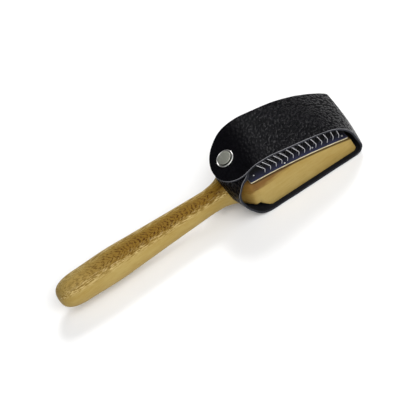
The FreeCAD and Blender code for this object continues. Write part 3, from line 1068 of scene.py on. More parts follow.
@dataclass
class WoodenBody:
    """Handle, shoulder and head in one piece of wood."""

    axis_height: float = 14.6 * MM
    body_length: float = 202.0 * MM
    butt_depth: float = 20.0 * MM
    butt_radius: float = 10.1 * MM
    butt_squareness: float = 3.0
    butt_steps: int = 18
    swell_radius: float = 10.45 * MM
    swell_distance: float = 38.0 * MM
    neck_radius: float = 7.6 * MM
    taper_shares: tuple[Pair, ...] = ((0.0, 0.0), (0.28, 0.28), (0.55, 0.58), (0.82, 0.85), (1.0, 1.0))
    station_step: float = 2.0 * MM
    shoulder_length: float = 23.0 * MM
    shoulder_widths: tuple[Pair, ...] = (
        (0.0, 0.0), (0.25, 0.041), (0.5, 0.203), (0.75, 0.54), (0.9, 0.85), (1.0, 1.0),
    )
    shoulder_height_power: float = 1.2
    shoulder_inset: float = 0.25 * MM
    shoulder_drop: float = 1.4 * MM
    shoulder_steps: int = 26
    neck_corner_share: float = 0.99
    head_corner_share: float = 0.45
    root_depth: float = 3.2 * MM
    head_length: float = 70.0 * MM
    head_width: float = 35.0 * MM
    head_rear_height: float = 24.6 * MM
    head_front_height: float = 11.4 * MM
    head_back_depth: float = 13.0 * MM
    head_front_lean: float = 1.8 * MM
    face_crown: float = 1.7 * MM
    face_steps: int = 30
    heel_radius: float = 9.0 * MM
    heel_fullness: float = 1.55
    heel_steps: int = 14
    toe_radius: float = 2.4 * MM
    toe_steps: int = 10
    rear_rounding: float = 4.0 * MM
    rear_steps: int = 6
    edge_radius: float = 0.8 * MM
    edge_segments: int = 4
    edge_angle: float = 40.0
    crease_angle: float = 30.0
    sides: int = 112
    butt_x: float = field(init=False)
    head_rear_x: float = field(init=False)
    neck_x: float = field(init=False)
    head_back_z: float = field(init=False)
    face: CrownedFace = field(init=False)

    def __post_init__(self) -> None:
        """Find the places that follow from the frame and the sizes."""
        self.butt_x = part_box("brush_body")[0].x
        self.head_back_z = self.axis_height - self.head_back_depth
        self.head_rear_x = self.butt_x + self.body_length - self.head_length
        self.neck_x = self.head_rear_x - self.shoulder_length
        rear_edge = (self.head_rear_x, self.head_back_z + self.head_rear_height)
        front_x = self.head_rear_x + self.head_length - self.head_front_lean
        front_edge = (front_x, self.head_back_z + self.head_front_height)
        self.face = CrownedFace(rear_edge, front_edge, self.face_crown)

    def build(self, finish: Material) -> Item:
        """Join the handle and the head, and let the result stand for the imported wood.

        Args:
            finish: The wood's material.

        Returns:
            The piece.
        """
        body = new_object("wooden_body", mesh_from("wooden_body", *skin_rings(self.handle_rings())))
        combine(body, self.head_block(), Joining.UNION)
        smooth_by_angle(body.data, self.crease_angle)
        self.dress(body, finish)
        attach(body, "brush")
        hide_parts("brush_body")
        return body

    @staticmethod
    def dress(body: Item, finish: Material) -> None:
        """Give the wood its finish."""
        body.data.materials.clear()
        body.data.materials.append(finish)

    def handle_rings(self) -> list[list[Vector]]:
        """Rings from the butt to just inside the head.

        Returns:
            Each ring's points.
        """
        rings = [self.ring(x, radius, radius, 0.0, 1.0) for x, radius in self.handle_stations()]
        shares = [step / self.shoulder_steps for step in range(1, self.shoulder_steps + 1)]
        rings += [self.shoulder_ring(share) for share in shares]
        rings.append(self.shoulder_ring(1.0, beyond=self.root_depth))
        return rings

    def handle_stations(self) -> list[Pair]:
        """Places along the handle with the radius at each, from the butt to the neck.

        Returns:
            Each place and radius.
        """
        stations = []
        power = 2 / self.butt_squareness
        for turn in quarter_turns(self.butt_steps, first=1):
            back = max(0.0, math.cos(turn)) ** power
            stations.append((self.butt_depth * (1 - back), self.butt_radius * math.sin(turn) ** power))
        run = self.neck_x - self.butt_x - self.swell_distance
        narrowing = self.neck_radius - self.swell_radius
        knots = [(self.butt_depth, self.butt_radius)]
        for along, drop in self.taper_shares:
            knots.append((self.swell_distance + along * run, self.swell_radius + drop * narrowing))
        curve = SmoothCurve(knots)
        span = knots[-1][0] - self.butt_depth
        count = round(span / self.station_step)
        for step in range(1, count + 1):
            x = self.butt_depth + span * step / count
            stations.append((x, curve.at(x)))
        return [(self.butt_x + x, radius) for x, radius in stations]

    def ring(
        self, x: float, half_width: float, half_height: float, centre: float, corner_share: float,
    ) -> list[Vector]:
        """One ring: a rectangle with round corners, seen from its middle at even angles.

        Args:
            x: Where the ring stands along the handle.
            half_width: Half its width.
            half_height: Half its height.
            centre: Its middle's height above the handle's axis.
            corner_share: Its corner radius as a share of its smaller half.

        Returns:
            The ring's points.
        """
        corner = min(half_width, half_height) * corner_share
        middle = Vector((half_width - corner, half_height - corner))
        points = []
        for step in range(self.sides):
            turn = math.tau * step / self.sides
            across, rise = math.cos(turn), math.sin(turn)
            heading = Vector((abs(across), abs(rise)))
            reach = min(half_width / max(abs(across), 1e-9), half_height / max(abs(rise), 1e-9))
            hit = heading * reach
            if hit.x > middle.x and hit.y > middle.y:
                along = middle.dot(heading)
                reach = along + math.sqrt(max(0.0, along * along - middle.length_squared + corner * corner))
            points.append(Vector((x, reach * across, self.axis_height + centre + reach * rise)))
        return points

    def shoulder_ring(self, share: float, grow: float = 0.0, beyond: float = 0.0) -> list[Vector]:
        """One ring of the flare from the neck to the head.

        Args:
            share: How far along the flare the ring stands.
            grow: How much larger than the wood it is, all round.
            beyond: How far past that place it is moved.

        Returns:
            The ring's points.
        """
        wide = SmoothCurve(self.shoulder_widths).at(share)
        tall = share ** self.shoulder_height_power
        crest = self.head_rear_height - self.head_back_depth - self.shoulder_inset
        top = self.neck_radius + tall * (crest - self.neck_radius)
        side = self.head_width / 2 - self.shoulder_inset
        half_width = self.neck_radius + wide * (side - self.neck_radius) + grow
        below = self.neck_radius + self.shoulder_drop * wide ** 2
        half_height = (top + below) / 2 + grow
        corner_share = self.neck_corner_share + wide * (self.head_corner_share - self.neck_corner_share)
        x = self.neck_x + share * self.shoulder_length + beyond
        return self.ring(x, half_width, half_height, (top - below) / 2, corner_share)

    def head_outline(self, cut: float) -> list[Pair]:
        """The head's outline in XZ, from its rear over the heel, the toe and the wire side.

        Args:
            cut: How far its rear is drawn in.

        Returns:
            The outline's points.
        """
        rear, back = self.head_rear_x + cut, self.head_back_z
        front = self.head_rear_x + self.head_length
        lean = math.degrees(math.atan2(self.head_front_lean, self.head_front_height))
        toe_reach = self.toe_radius / math.tan(math.radians((90 - lean) / 2))
        toe_centre = (front - toe_reach, back + self.toe_radius)
        power = 2 / self.heel_fullness
        outline = []
        for turn in quarter_turns(self.heel_steps):
            inward = 1 - max(0.0, math.cos(turn)) ** power
            rise = 1 - math.sin(turn) ** power
            outline.append((rear + (self.heel_radius - cut) * inward, back + self.heel_radius * rise))
        outline += arc_points(toe_centre, self.toe_radius, 270, 360 + lean, self.toe_steps)
        run = self.face.length - cut
        backward = [run * step / self.face_steps for step in range(self.face_steps + 1)]
        outline += [self.face.at(self.face.length - distance) for distance in backward]
        return outline

    def head_block(self) -> Item:
        """The wedge of the head, with a round heel and toe, eased edges and well rounded rear edges.

        Returns:
            The block.
        """
        half = self.head_width / 2
        rings = []
        for turn in quarter_turns(self.rear_steps):
            side = half - self.rear_rounding * (1 - math.sin(turn))
            outline = self.head_outline(self.rear_rounding * (1 - math.cos(turn)))
            rings.append([Vector((x, side, z)) for x, z in outline])
        mirrored = [[Vector((spot.x, -spot.y, spot.z)) for spot in ring] for ring in rings[::-1]]
        block = new_object("head_block", mesh_from("head_block", *skin_rings(mirrored + rings)))
        eased = block.modifiers.new("eased_edges", "BEVEL")
        eased.width = self.edge_radius
        eased.segments = self.edge_segments
        eased.limit_method = "ANGLE"
        eased.angle_limit = math.radians(self.edge_angle)
        return settle(block)


class NodeRecipe(GroupBench):
    """A Geometry Nodes tree with named inputs, run once to give a plain mesh."""

    KINDS = ((Material, "Material"), (Item, "Object"), (int, "Int"), (float, "Float"))

    def __init__(self, name: str, values: dict[str, Value]) -> None:
        """Make the tree and its inputs.

        Args:
            name: The tree's name.
            values: Input name to the value that this piece gives it.
        """
        kinds = {label: self.kind_of(value) for label, value in values.items()}
        super().__init__(name, "GeometryNodeTree", kinds, {"Geometry": "Geometry"})
        self.name = name
        self.values = values

    @classmethod
    def kind_of(cls, value: Value) -> str:
        """The socket kind for a value."""
        return next(kind for sort, kind in cls.KINDS if isinstance(value, sort))

    def keep(self, geometry: Socket, name: str, value: Socket) -> Socket:
        """Store a value on every point under a name."""
        return self.made("GeometryNodeStoreNamedAttribute", {0: geometry, "Name": name, "Value": value})

    def kept(self, name: str) -> Socket:
        """A value that was stored on the points."""
        return self.made("GeometryNodeInputNamedAttribute", {"Name": name}, data_type="FLOAT")

    def place(self) -> Sequence[Socket]:
        """Each point's X, Y and Z."""
        return self.axes(self.made("GeometryNodeInputPosition"))

    def finish(self, geometry: Socket) -> None:
        """End the tree: real geometry, smooth, with the piece's material.

        Args:
            geometry: What the tree has made.
        """
        real = self.made("GeometryNodeRealizeInstances", {0: geometry})
        smooth = self.made("GeometryNodeSetShadeSmooth", {0: real})
        dressed = self.made("GeometryNodeSetMaterial", {0: smooth, "Material": self.entry["Material"]})
        self.feed(self.ends[0], dressed)

    def run(self, piece_name: str, place: Matrix) -> Item:
        """Run the tree.

        Args:
            piece_name: The name of the piece that it makes.
            place: Where the piece stands.

        Returns:
            The piece as a plain mesh.
        """
        item = new_object(piece_name, bpy.data.meshes.new(piece_name))
        modifier = item.modifiers.new(self.name, "NODES")
        modifier.node_group = self.tree
        for label, value in self.values.items():
            modifier[self.identifiers[label]] = value
        settle(item)
        item.data.transform(place)
        return item


@dataclass(frozen=True)
class LayerSizes:
    """How one layer of the pad lies, how tacks draw it down and how its underside is tucked in."""

    bottom: float
    thickness: float
    dimple: float
    tuck: float


@dataclass
class WirePad:
    """The tacked pad of kneed wires on the head's sloping face."""

    DRAWS = ("lean_draw", "side_draw", "height_draw")

    finishes: Finishes
    wood: WoodenBody
    inset: float = 0.8 * MM
    front_inset: float = 1.2 * MM
    overhang: float = 0.5 * MM
    cloth_thickness: float = 1.2 * MM
    face_thickness: float = 0.8 * MM
    layer_rows: int = 90
    layer_columns: int = 44
    layer_rounding: float = 0.3 * MM
    layer_crease_angle: float = 50.0
    top_ripple: Wobble = Wobble(0.05 * MM, (160.0, 160.0, 900.0))
    edge_ripple: Wobble = Wobble(0.12 * MM, (220.0, 4000.0), 3.0)
    waist_share: float = 0.4
    tuck: float = 0.6 * MM
    dimple_depth: float = 0.22 * MM
    dimple_radius: float = 2.6 * MM
    columns: int = 14
    staple_rows: int = 6
    rear_margin: float = 11.8 * MM
    front_margin: float = 4.6 * MM
    side_margin: float = 1.2 * MM
    stagger_share: float = 0.25
    wire_radius: float = 0.225 * MM
    wire_height: float = 9.4 * MM
    wire_points: int = 11
    wire_sides: int = 6
    knee_height: float = 2.6 * MM
    knee_softness: float = 0.35 * MM
    forward_lean: float = 10.0
    rear_lean: float = 37.0
    front_lean: float = 15.0
    lean_growth: float = 3.0
    front_trim: float = 0.22
    trim_growth: float = 8.0
    lean_scatter: float = 3.0
    side_scatter: float = 2.0
    height_scatter: float = 0.015
    tack_radius: float = 0.68 * MM
    tack_height: float = 0.5 * MM
    tack_shank: tuple[Pair, ...] = ((0.0, -2.4), (0.4, -1.6), (0.45, 0.0), (0.96, -0.12))
    tack_dome_steps: int = 6
    tack_sides: int = 16
    tack_tilt: float = 7.0
    tack_sink: float = 0.6
    tack_rear_margin: float = 4.0 * MM
    tack_front_margin: float = 2.8 * MM
    tack_side_margin: float = 1.9 * MM
    tack_drifts: tuple[float, ...] = (1.6 * MM, -1.2 * MM, 0.5 * MM, 0.0)
    tack_far_shift: float = 2.0 * MM
    seed: int = 7

    def __post_init__(self) -> None:
        """Find the pad's size from the wood."""
        self.length = self.wood.face.length - self.inset - self.front_inset
        self.width = self.wood.head_width - 2 * self.inset
        self.spread = self.width + 2 * self.overhang
        self.top = self.cloth_thickness + self.face_thickness
        self.tack_spots = self.tack_places()

    def bend(self, mesh: Mesh) -> None:
        """Lay a mesh that was built flat onto the head's crowned face."""
        for vertex in mesh.vertices:
            x, z = self.wood.face.at(vertex.co.x, vertex.co.z)
            vertex.co = (x, vertex.co.y, z)

    def build(self) -> list[Item]:
        """Make both layers, the wires and the tacks.

        Returns:
            The pieces.
        """
        lower = LayerSizes(0.0, self.cloth_thickness, 0.0, self.tuck)
        upper = LayerSizes(self.cloth_thickness, self.face_thickness, self.dimple_depth, 0.0)
        cloth = self.layer("pad_cloth_layer", lower, self.finishes.cloth)
        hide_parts("pad_cloth")
        face = self.layer("pad_face_layer", upper, self.finishes.face)
        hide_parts("pad_face")
        wires = self.wires()
        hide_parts(*[f"wire_row_{number + 1}" for number in range(self.staple_rows)])
        tacks = self.tacks()
        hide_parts("pad_tacks")
        pieces = [cloth, face, wires, tacks]
        for piece in pieces:
            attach(piece, "brush")
        return pieces

    def tack_places(self) -> list[Pair]:
        """Where the tacks stand, along and across the pad.

        Returns:
            Each tack's place.
        """
        first = self.inset + self.tack_rear_margin
        last = self.inset + self.length - self.tack_front_margin
        side = self.width / 2 - self.tack_side_margin
        places = []
        for step, drift in enumerate(self.tack_drifts):
            along = first + (last - first) * step / (len(self.tack_drifts) - 1)
            places += [(along, drift - side), (along - self.tack_far_shift, side - drift)]
        return places

    def layer(self, name: str, sizes: LayerSizes, finish: Material) -> Item:
        """One layer of the pad, soft at its edges.

        Args:
            name: The piece's name.
            sizes: How it lies.
            finish: Its material.

        Returns:
            The piece.
        """
        rings = []
        for row in range(self.layer_rows + 1):
            along = self.inset + self.length * row / self.layer_rows
            rings.append(self.layer_ring(sizes, along, row in (0, self.layer_rows)))
        mesh = mesh_from(name, *skin_rings(rings))
        self.bend(mesh)
        smooth_by_angle(mesh, self.layer_crease_angle)
        mesh.materials.append(finish)
        return new_object(name, mesh)

    def layer_ring(self, sizes: LayerSizes, along: float, at_end: bool) -> list[Vector]:
        """One ring across a layer.

        Args:
            sizes: How the layer lies.
            along: Where the ring stands along the pad.
            at_end: Whether it is the first or the last ring, which is drawn in.

        Returns:
            The ring's points.
        """
        rounding = min(self.layer_rounding, sizes.thickness / 3)
        lowered = rounding if at_end else 0.0
        half = self.spread / 2 + self.edge_ripple.at(along, sizes.bottom) - lowered
        top = []
        for column in range(self.layer_columns + 1):
            across = (2 * column / self.layer_columns - 1) * (half - rounding)
            top.append(Vector((along, across, self.layer_top(sizes, along, across) - lowered)))
        high = top[-1].z
        waist = sizes.bottom + (high - sizes.bottom) * self.waist_share
        places = ((half, high - rounding), (half, waist), (half - sizes.tuck, sizes.bottom))
        far = [Vector((along, across, height)) for across, height in places]
        near = [Vector((along, -spot.y, spot.z)) for spot in far[::-1]]
        near[-1].z = top[0].z - rounding
        return top + far + near

    def layer_top(self, sizes: LayerSizes, along: float, across: float) -> float:
        """The height of a layer's top at a place, drawn down round the tacks.

        Args:
            sizes: How the layer lies.
            along: The place along the pad.
            across: The place across it.

        Returns:
            The height.
        """
        reaches = [(along - x) ** 2 + (across - y) ** 2 for x, y in self.tack_spots]
        pulls = [math.exp(-(reach / (self.dimple_radius / 2) ** 2)) for reach in reaches]
        ripple = self.top_ripple.at(along, across, sizes.bottom)
        return sizes.bottom + sizes.thickness + ripple - sizes.dimple * max(pulls)

    def wires(self) -> Item:
        """The field of wires: straight lines on a grid, bent at their knees and given thickness.

        Returns:
            The piece.
        """
        first = self.inset + self.rear_margin
        run = self.length - self.rear_margin - self.front_margin
        recipe = NodeRecipe("Wire Field", {
            "Columns": self.columns, "Legs": 2 * self.staple_rows, "Run": run,
            "Breadth": self.width - 2 * self.side_margin,
            "Stagger": self.stagger_share * run / (self.columns - 1), "Root Depth": self.face_thickness,
            "Height": self.wire_height, "Knee Height": self.knee_height, "Knee Softness": self.knee_softness,
            "Forward Lean": math.radians(self.forward_lean), "Rear Lean": math.radians(self.rear_lean),
            "Front Lean": math.radians(self.front_lean), "Lean Growth": self.lean_growth,
            "Front Trim": self.front_trim, "Trim Growth": self.trim_growth,
            "Lean Scatter": math.radians(self.lean_scatter), "Side Scatter": math.radians(self.side_scatter),
            "Height Scatter": self.height_scatter, "Wire Radius": self.wire_radius,
            "Seed": self.seed, "Material": self.finishes.wire,
        })
        entry = recipe.entry
        feet = recipe.made("GeometryNodeMeshToPoints", {0: self.wire_feet(recipe)})
        root = recipe.joined(z=recipe.times(entry["Root Depth"], -1.0))
        tip = recipe.joined(z=entry["Height"])
        line = recipe.made("GeometryNodeCurvePrimitiveLine", {"Start": root, "End": tip})
        line = recipe.made("GeometryNodeResampleCurve", {"Curve": line, "Count": self.wire_points})
        stood = recipe.made("GeometryNodeInstanceOnPoints", {"Points": feet, "Instance": line})
        stood = recipe.made("GeometryNodeRealizeInstances", {0: stood})
        stood = recipe.made("GeometryNodeSetPosition", {0: stood, "Offset": self.lean_offset(recipe)})
        section = recipe.made("GeometryNodeCurvePrimitiveCircle", {
            "Resolution": self.wire_sides, "Radius": entry["Wire Radius"],
        })
        recipe.finish(recipe.made("GeometryNodeCurveToMesh", {
            "Curve": stood, "Profile Curve": section, "Fill Caps": True,
        }))
        wires = recipe.run("wire_field", Matrix.Translation((first + run / 2, 0.0, self.top)))
        self.bend(wires.data)
        return wires

    def wire_feet(self, recipe: NodeRecipe) -> Socket:
        """The wires' feet on a grid, staggered by staples, each with its place and its own draws.

        Args:
            recipe: The tree.

        Returns:
            The feet as the points of a mesh.
        """
        entry = recipe.entry
        feet = recipe.made("GeometryNodeMeshGrid", {
            "Size X": entry["Run"], "Size Y": entry["Breadth"],
            "Vertices X": entry["Columns"], "Vertices Y": entry["Legs"],
        })
        x, y, _ = recipe.place()
        share = recipe.calc("ADD", recipe.calc("DIVIDE", x, entry["Run"]), 0.5)
        across = recipe.calc("ADD", recipe.calc("DIVIDE", y, entry["Breadth"]), 0.5)
        leg = recipe.calc("ROUND", recipe.times(across, recipe.less(entry["Legs"], 1.0)))
        pair = recipe.calc("FLOOR", recipe.calc("DIVIDE", leg, 2.0))
        turn = recipe.less(recipe.times(recipe.calc("FLOORED_MODULO", pair, 2.0), 2.0), 1.0)
        feet = recipe.keep(feet, "share", share)
        for index, label in enumerate(self.DRAWS):
            limits = {2: -1.0, 3: 1.0, "Seed": recipe.calc("ADD", entry["Seed"], float(index))}
            draw = recipe.add("FunctionNodeRandomValue", limits, data_type="FLOAT")
            feet = recipe.keep(feet, label, draw.outputs[1])
        shift = recipe.joined(x=recipe.times(turn, entry["Stagger"]))
        return recipe.made("GeometryNodeSetPosition", {0: feet, "Offset": shift})

    def lean_offset(self, recipe: NodeRecipe) -> Socket:
        """How far each point of a wire moves as it leans forward, knees and leans back.

        Args:
            recipe: The tree.

        Returns:
            The offset's socket.
        """
        entry = recipe.entry
        lean_draw, side_draw, height_draw = (recipe.kept(label) for label in self.DRAWS)
        share = recipe.kept("share")
        spread = recipe.less(entry["Front Lean"], entry["Rear Lean"])
        lean = recipe.scaled(recipe.calc("POWER", share, entry["Lean Growth"]), spread, entry["Rear Lean"])
        lean = recipe.scaled(lean_draw, entry["Lean Scatter"], lean)
        rise = recipe.calc("MAXIMUM", recipe.place()[2], 0.0)
        forward = recipe.calc("TANGENT", entry["Forward Lean"])
        above = recipe.less(rise, entry["Knee Height"])
        knee = recipe.times(entry["Knee Height"], forward)
        back = recipe.less(knee, recipe.times(above, recipe.calc("TANGENT", lean)))
        along = recipe.calc("SMOOTH_MIN", recipe.times(rise, forward), back, entry["Knee Softness"])
        across = recipe.times(rise, recipe.times(side_draw, entry["Side Scatter"]))
        trim = recipe.times(recipe.calc("POWER", share, entry["Trim Growth"]), entry["Front Trim"])
        growth = recipe.scaled(height_draw, entry["Height Scatter"], recipe.times(trim, -1.0))
        return recipe.joined(along, across, recipe.times(rise, growth))

    def tacks(self) -> Item:
        """Round-headed tacks, each set a little askew.

        Returns:
            The piece.
        """
        radius, height = self.tack_radius, self.tack_height
        outline = [(radius * out, height * up) for out, up in self.tack_shank]
        outline += [(radius * math.cos(turn), height * math.sin(turn))
                    for turn in quarter_turns(self.tack_dome_steps)]
        shape = new_object("tack_shape", turned("tack_shape", outline, self.tack_sides, Matrix.Identity(4)))
        places = [Vector((x, y, 0.0)) for x, y in self.tack_spots]
        spots = new_object("tack_spots", mesh_from("tack_spots", places, []))
        recipe = NodeRecipe("Tack Rows", {
            "Spots": spots, "Tack": shape, "Tilt": math.radians(self.tack_tilt), "Seed": self.seed,
            "Material": self.finishes.tack,
        })
        entry = recipe.entry
        marked, tack = (recipe.add("GeometryNodeObjectInfo", {"Object": entry[label]}).outputs["Geometry"]
                        for label in ("Spots", "Tack"))
        points = recipe.made("GeometryNodeMeshToPoints", {0: marked})
        limits = {0: (-1.0, -1.0, -1.0), "Seed": entry["Seed"]}
        draw = recipe.made("FunctionNodeRandomValue", limits, data_type="FLOAT_VECTOR")
        turn = recipe.made("FunctionNodeEulerToRotation", {0: recipe.vector("SCALE", draw, entry["Tilt"])})
        recipe.finish(recipe.made("GeometryNodeInstanceOnPoints", {
            "Points": points, "Instance": tack, "Rotation": turn,
        }))
        seat = self.top - self.tack_sink * self.dimple_depth
        rows = recipe.run("tack_rows", Matrix.Translation((0.0, 0.0, seat)))
        self.bend(rows.data)
        for spare in (shape, spots):
            bpy.data.objects.remove(spare)
        return rows


class RoundedPath:
    """A line in the XZ plane through corners that are rounded by arcs, all turning the same way."""

    def __init__(self, corners: Sequence[Pair], radii: Sequence[float]) -> None:
        """Lay out the straight stretches and the arcs.

        Args:
            corners: The two ends and the corners between them.
            radii: The radius at each corner between the ends.
        """
        points = [Vector(corner) for corner in corners]
        self.pieces = []
        self.straights = []
        self.length = 0.0
        start = points[0]
        for index in range(len(points) - 1):
            heading = (points[index + 1] - points[index]).normalized()
            stop = points[index + 1]
            turn = 0.0
            if index < len(radii):
                after = (points[index + 2] - points[index + 1]).normalized()
                turn = math.atan2(heading.x * after.y - heading.y * after.x, heading.dot(after))
                stop = stop - heading * (radii[index] * math.tan(turn / 2))
            run = (stop - start).length
            self.straights.append((self.length, self.length + run))
            self.pieces.append((self.length, start, heading, 0.0))
            self.length += run
            if turn:
                self.pieces.append((self.length, stop, heading, radii[index]))
                self.length += radii[index] * turn
                start = points[index + 1] + after * (radii[index] * math.tan(turn / 2))

    def at(self, distance: float) -> tuple[Vector, Vector]:
        """A point on the line and the outward direction there.

        Args:
            distance: How far along the line the point is.

        Returns:
            The point and the direction, both in XZ.
        """
        passed = (piece for piece in reversed(self.pieces) if distance >= piece[0])
        begin, start, heading, radius = next(passed, self.pieces[0])
        along = distance - begin
        outward = Vector((heading.y, -heading.x))
        if not radius:
            return start + heading * along, outward
        turn = along / radius
        swung = Vector((outward.x * math.cos(turn) - outward.y * math.sin(turn),
                        outward.x * math.sin(turn) + outward.y * math.cos(turn)))
        return start - outward * radius + swung * radius, swung


@dataclass(frozen=True)
class Dent:
    """A round place where snap hardware presses into the leather."""

    along: float
    radius: float
    depth: float
    rim: float = 1.8 * MM

    def at(self, along: float, across: float) -> float:
        """How deep the dent is at a place on the flat strip."""
        reach = math.hypot(along - self.along, across)
        return self.depth * eased_step(self.radius + self.rim - reach, 0.0, self.rim)


@dataclass
class LeatherCover:
    """One strip of leather round the head, in three pieces split at its folds."""

    finishes: Finishes
    wood: WoodenBody
    thickness: float = 1.4 * MM
    near_edge: float = -20.5 * MM
    far_edge: float = 18.9 * MM
    bevel: float = 0.3 * MM
    upper_angles: tuple[float, ...] = (30.0, 60.0, 90.0)
    lower_angles: tuple[float, ...] = (0.0, 45.0)
    tab_end: Pair = (34.392 * MM, 37.762 * MM)
    tab_corner: Pair = (20.401 * MM, 32.945 * MM)
    heel_corner: Pair = (20.401 * MM, 1.4 * MM)
    toe_corner: Pair = (102.241 * MM, 1.4 * MM)
    brow_corner: Pair = (96.946 * MM, 27.66 * MM)
    crest_corner: Pair = (40.601 * MM, 43.074 * MM)
    flap_tip: Pair = (15.072 * MM, 34.283 * MM)
    tab_bend: float = 6.0 * MM
    heel_bend: float = 18.0 * MM
    toe_bend: float = 4.7 * MM
    brow_bend: float = 20.0 * MM
    crest_bend: float = 31.0 * MM
    front_straight: int = 3
    top_straight: int = 4
    toe_fold_reach: Pair = (1.5 * MM, 4.5 * MM)
    brow_fold_reach: Pair = (5.0 * MM, 7.0 * MM)
    flap_end_fold_reach: Pair = (6.0 * MM, 6.0 * MM)
    tab_rounding: float = 8.0 * MM
    tip_across: float = -4.5 * MM
    tip_flat: float = 1.0 * MM
    near_rounding: float = 16.0 * MM
    far_rounding: float = 24.0 * MM
    rounding_steps: int = 16
    edge_ripple: Wobble = Wobble(0.14 * MM, (90.0,), 5.0)
    face_ripple: Wobble = Wobble(0.12 * MM, (55.0, 70.0), 1.0)
    snap_from_tip: float = 11.5 * MM
    stud_from_tab_end: float = 8.5 * MM
    cap_seat: Pair = (6.4 * MM, 0.12 * MM)
    socket_seat: Pair = (5.1 * MM, 0.5 * MM)
    stud_seat: Pair = (4.1 * MM, 0.5 * MM)
    eyelet_seat: Pair = (3.9 * MM, 0.5 * MM)
    hole_clearance: float = 0.3 * MM
    hole_steps: int = 16
    lifts: tuple[Triple, ...] = (
        (26, 0.0, 0.0), (34, 0.3, 0.5), (42, -0.4, 1.1), (50, -0.3, 1.6), (60, 0.1, 2.2), (68, 0.5, 2.4),
        (76, 0.7, 1.6), (84, 0.5, 0.0), (90, 0.2, -1.4), (96, 0.0, -1.3), (100, 0.0, -1.0),
    )
    lift_start: Pair = (16.0 * MM, 22.0 * MM)
    crown: float = 0.5 * MM
    crown_start: Pair = (30.0 * MM, 44.0 * MM)
    front_push: float = 4.3 * MM
    front_fullness: float = 1.0
    front_start: Pair = (80.0 * MM, 98.0 * MM)
    front_foot: Pair = (0.0 * MM, 10.0 * MM)
    front_foot_share: float = 0.5
    front_head: Pair = (16.5 * MM, 30.0 * MM)
    wall_edges: tuple[Triple, ...] = (
        (2.0, 0.0, 0.0), (3.0, 0.4, 0.4), (8.4, 1.7, 1.4), (16.3, 1.1, 1.9), (22.3, 0.0, 2.4),
        (26.6, 0.6, 3.2), (30.0, 2.3, 4.0), (33.0, 2.7, 4.3), (35.0, 1.9, 3.8), (37.0, -0.9, 2.4),
        (39.0, -2.2, 1.0),
    )
    wall_bow: tuple[Pair, ...] = (
        (4.0, 0.0), (6.0, -0.2), (14.0, -2.0), (20.0, -2.6), (27.0, -2.3), (33.0, 0.0), (34.0, 0.0),
    )
    crease_angle: float = 40.0
    step: float = 0.9 * MM
    columns: int = 46
    path: RoundedPath = field(init=False)

    def __post_init__(self) -> None:
        """Lay out the strip's line, how it lies, and the dents under the snap."""
        corners = [self.tab_end, self.tab_corner, self.heel_corner, self.toe_corner, self.brow_corner,
                   self.crest_corner, self.flap_tip]
        radii = [self.tab_bend, self.heel_bend, self.toe_bend, self.brow_bend, self.crest_bend]
        self.path = RoundedPath(corners, radii)
        self.near_lift, self.far_lift = self.curves(self.lifts)
        self.near_push, self.far_push = self.curves(self.wall_edges)
        (self.bow_push,) = self.curves(self.wall_bow)
        snap, stud = self.path.length - self.snap_from_tip, self.stud_from_tab_end
        self.outer_dents = [Dent(snap, *self.cap_seat), Dent(stud, *self.stud_seat)]
        self.inner_dents = [Dent(snap, *self.socket_seat), Dent(stud, *self.eyelet_seat)]

    @staticmethod
    def curves(rows: Sequence[Sequence[float]]) -> list[SmoothCurve]:
        """One curve for each column of values after a column of places, all in millimetres.

        Args:
            rows: The places and values, row by row.

        Returns:
            The curves.
        """
        places, *columns = zip(*rows)
        return [
            SmoothCurve([(place * MM, value * MM) for place, value in zip(places, column)])
            for column in columns
        ]

    def build(self) -> list[Item]:
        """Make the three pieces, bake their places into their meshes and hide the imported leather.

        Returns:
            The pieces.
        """
        front_split = sum(self.path.straights[self.front_straight]) / 2
        top_split = sum(self.path.straights[self.top_straight]) / 2
        base = self.strip("cover_base_leather", 0.0, front_split)
        combine(base, self.handle_hole(), Joining.DIFFERENCE)
        smooth_by_angle(base.data, self.crease_angle)
        top = self.strip("cover_front_leather", front_split, top_split)
        end = self.strip("cover_flap_leather", top_split, self.path.length)
        up_front = (Vector(self.brow_corner) - Vector(self.toe_corner)).normalized()
        up_top = (Vector(self.crest_corner) - Vector(self.brow_corner)).normalized()
        self.fold(base, "toe_fold", ("brush", "cover_front"), Vector((1.0, 0.0)), self.toe_fold_reach)
        self.fold(top, "brow_fold", ("cover_front", "cover_top"), up_front, self.brow_fold_reach)
        self.fold(end, "flap_end_fold", ("cover_top", "cover_end"), up_top, self.flap_end_fold_reach)
        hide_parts("cover_base")
        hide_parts("cover_front_panel", "cover_flap")
        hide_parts("cover_flap_end")
        pieces = [base, top, end]
        return pieces

    @staticmethod
    def fold(piece: Item, joint: str, bodies: tuple[str, str], heading: Vector, reach: Pair) -> None:
        """Bake a piece's place into its mesh; it is not bent.

        Args:
            piece: The piece.
            joint: Not used.
            bodies: Not used.
            heading: Not used.
            reach: Not used.
        """
        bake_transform(piece)

    def handle_hole(self) -> Item:
        """The shape of the handle's hole through the rear wall.

        Returns:
            The shape.
        """
        shares = [step / self.hole_steps for step in range(self.hole_steps + 1)]
        rings = [self.wood.shoulder_ring(share, grow=self.hole_clearance) for share in shares]
        mesh = mesh_from("handle_hole", *skin_rings(rings))
        self.dress(mesh, [Side.CUT.value] * len(mesh.polygons))
        return new_object("handle_hole", mesh)

    def dress(self, mesh: Mesh, slots: Sequence[int]) -> None:
        """Give a mesh the leather's finishes, one slot for each face."""
        for material in self.finishes.leather:
            mesh.materials.append(material)
        mesh.polygons.foreach_set("material_index", slots)

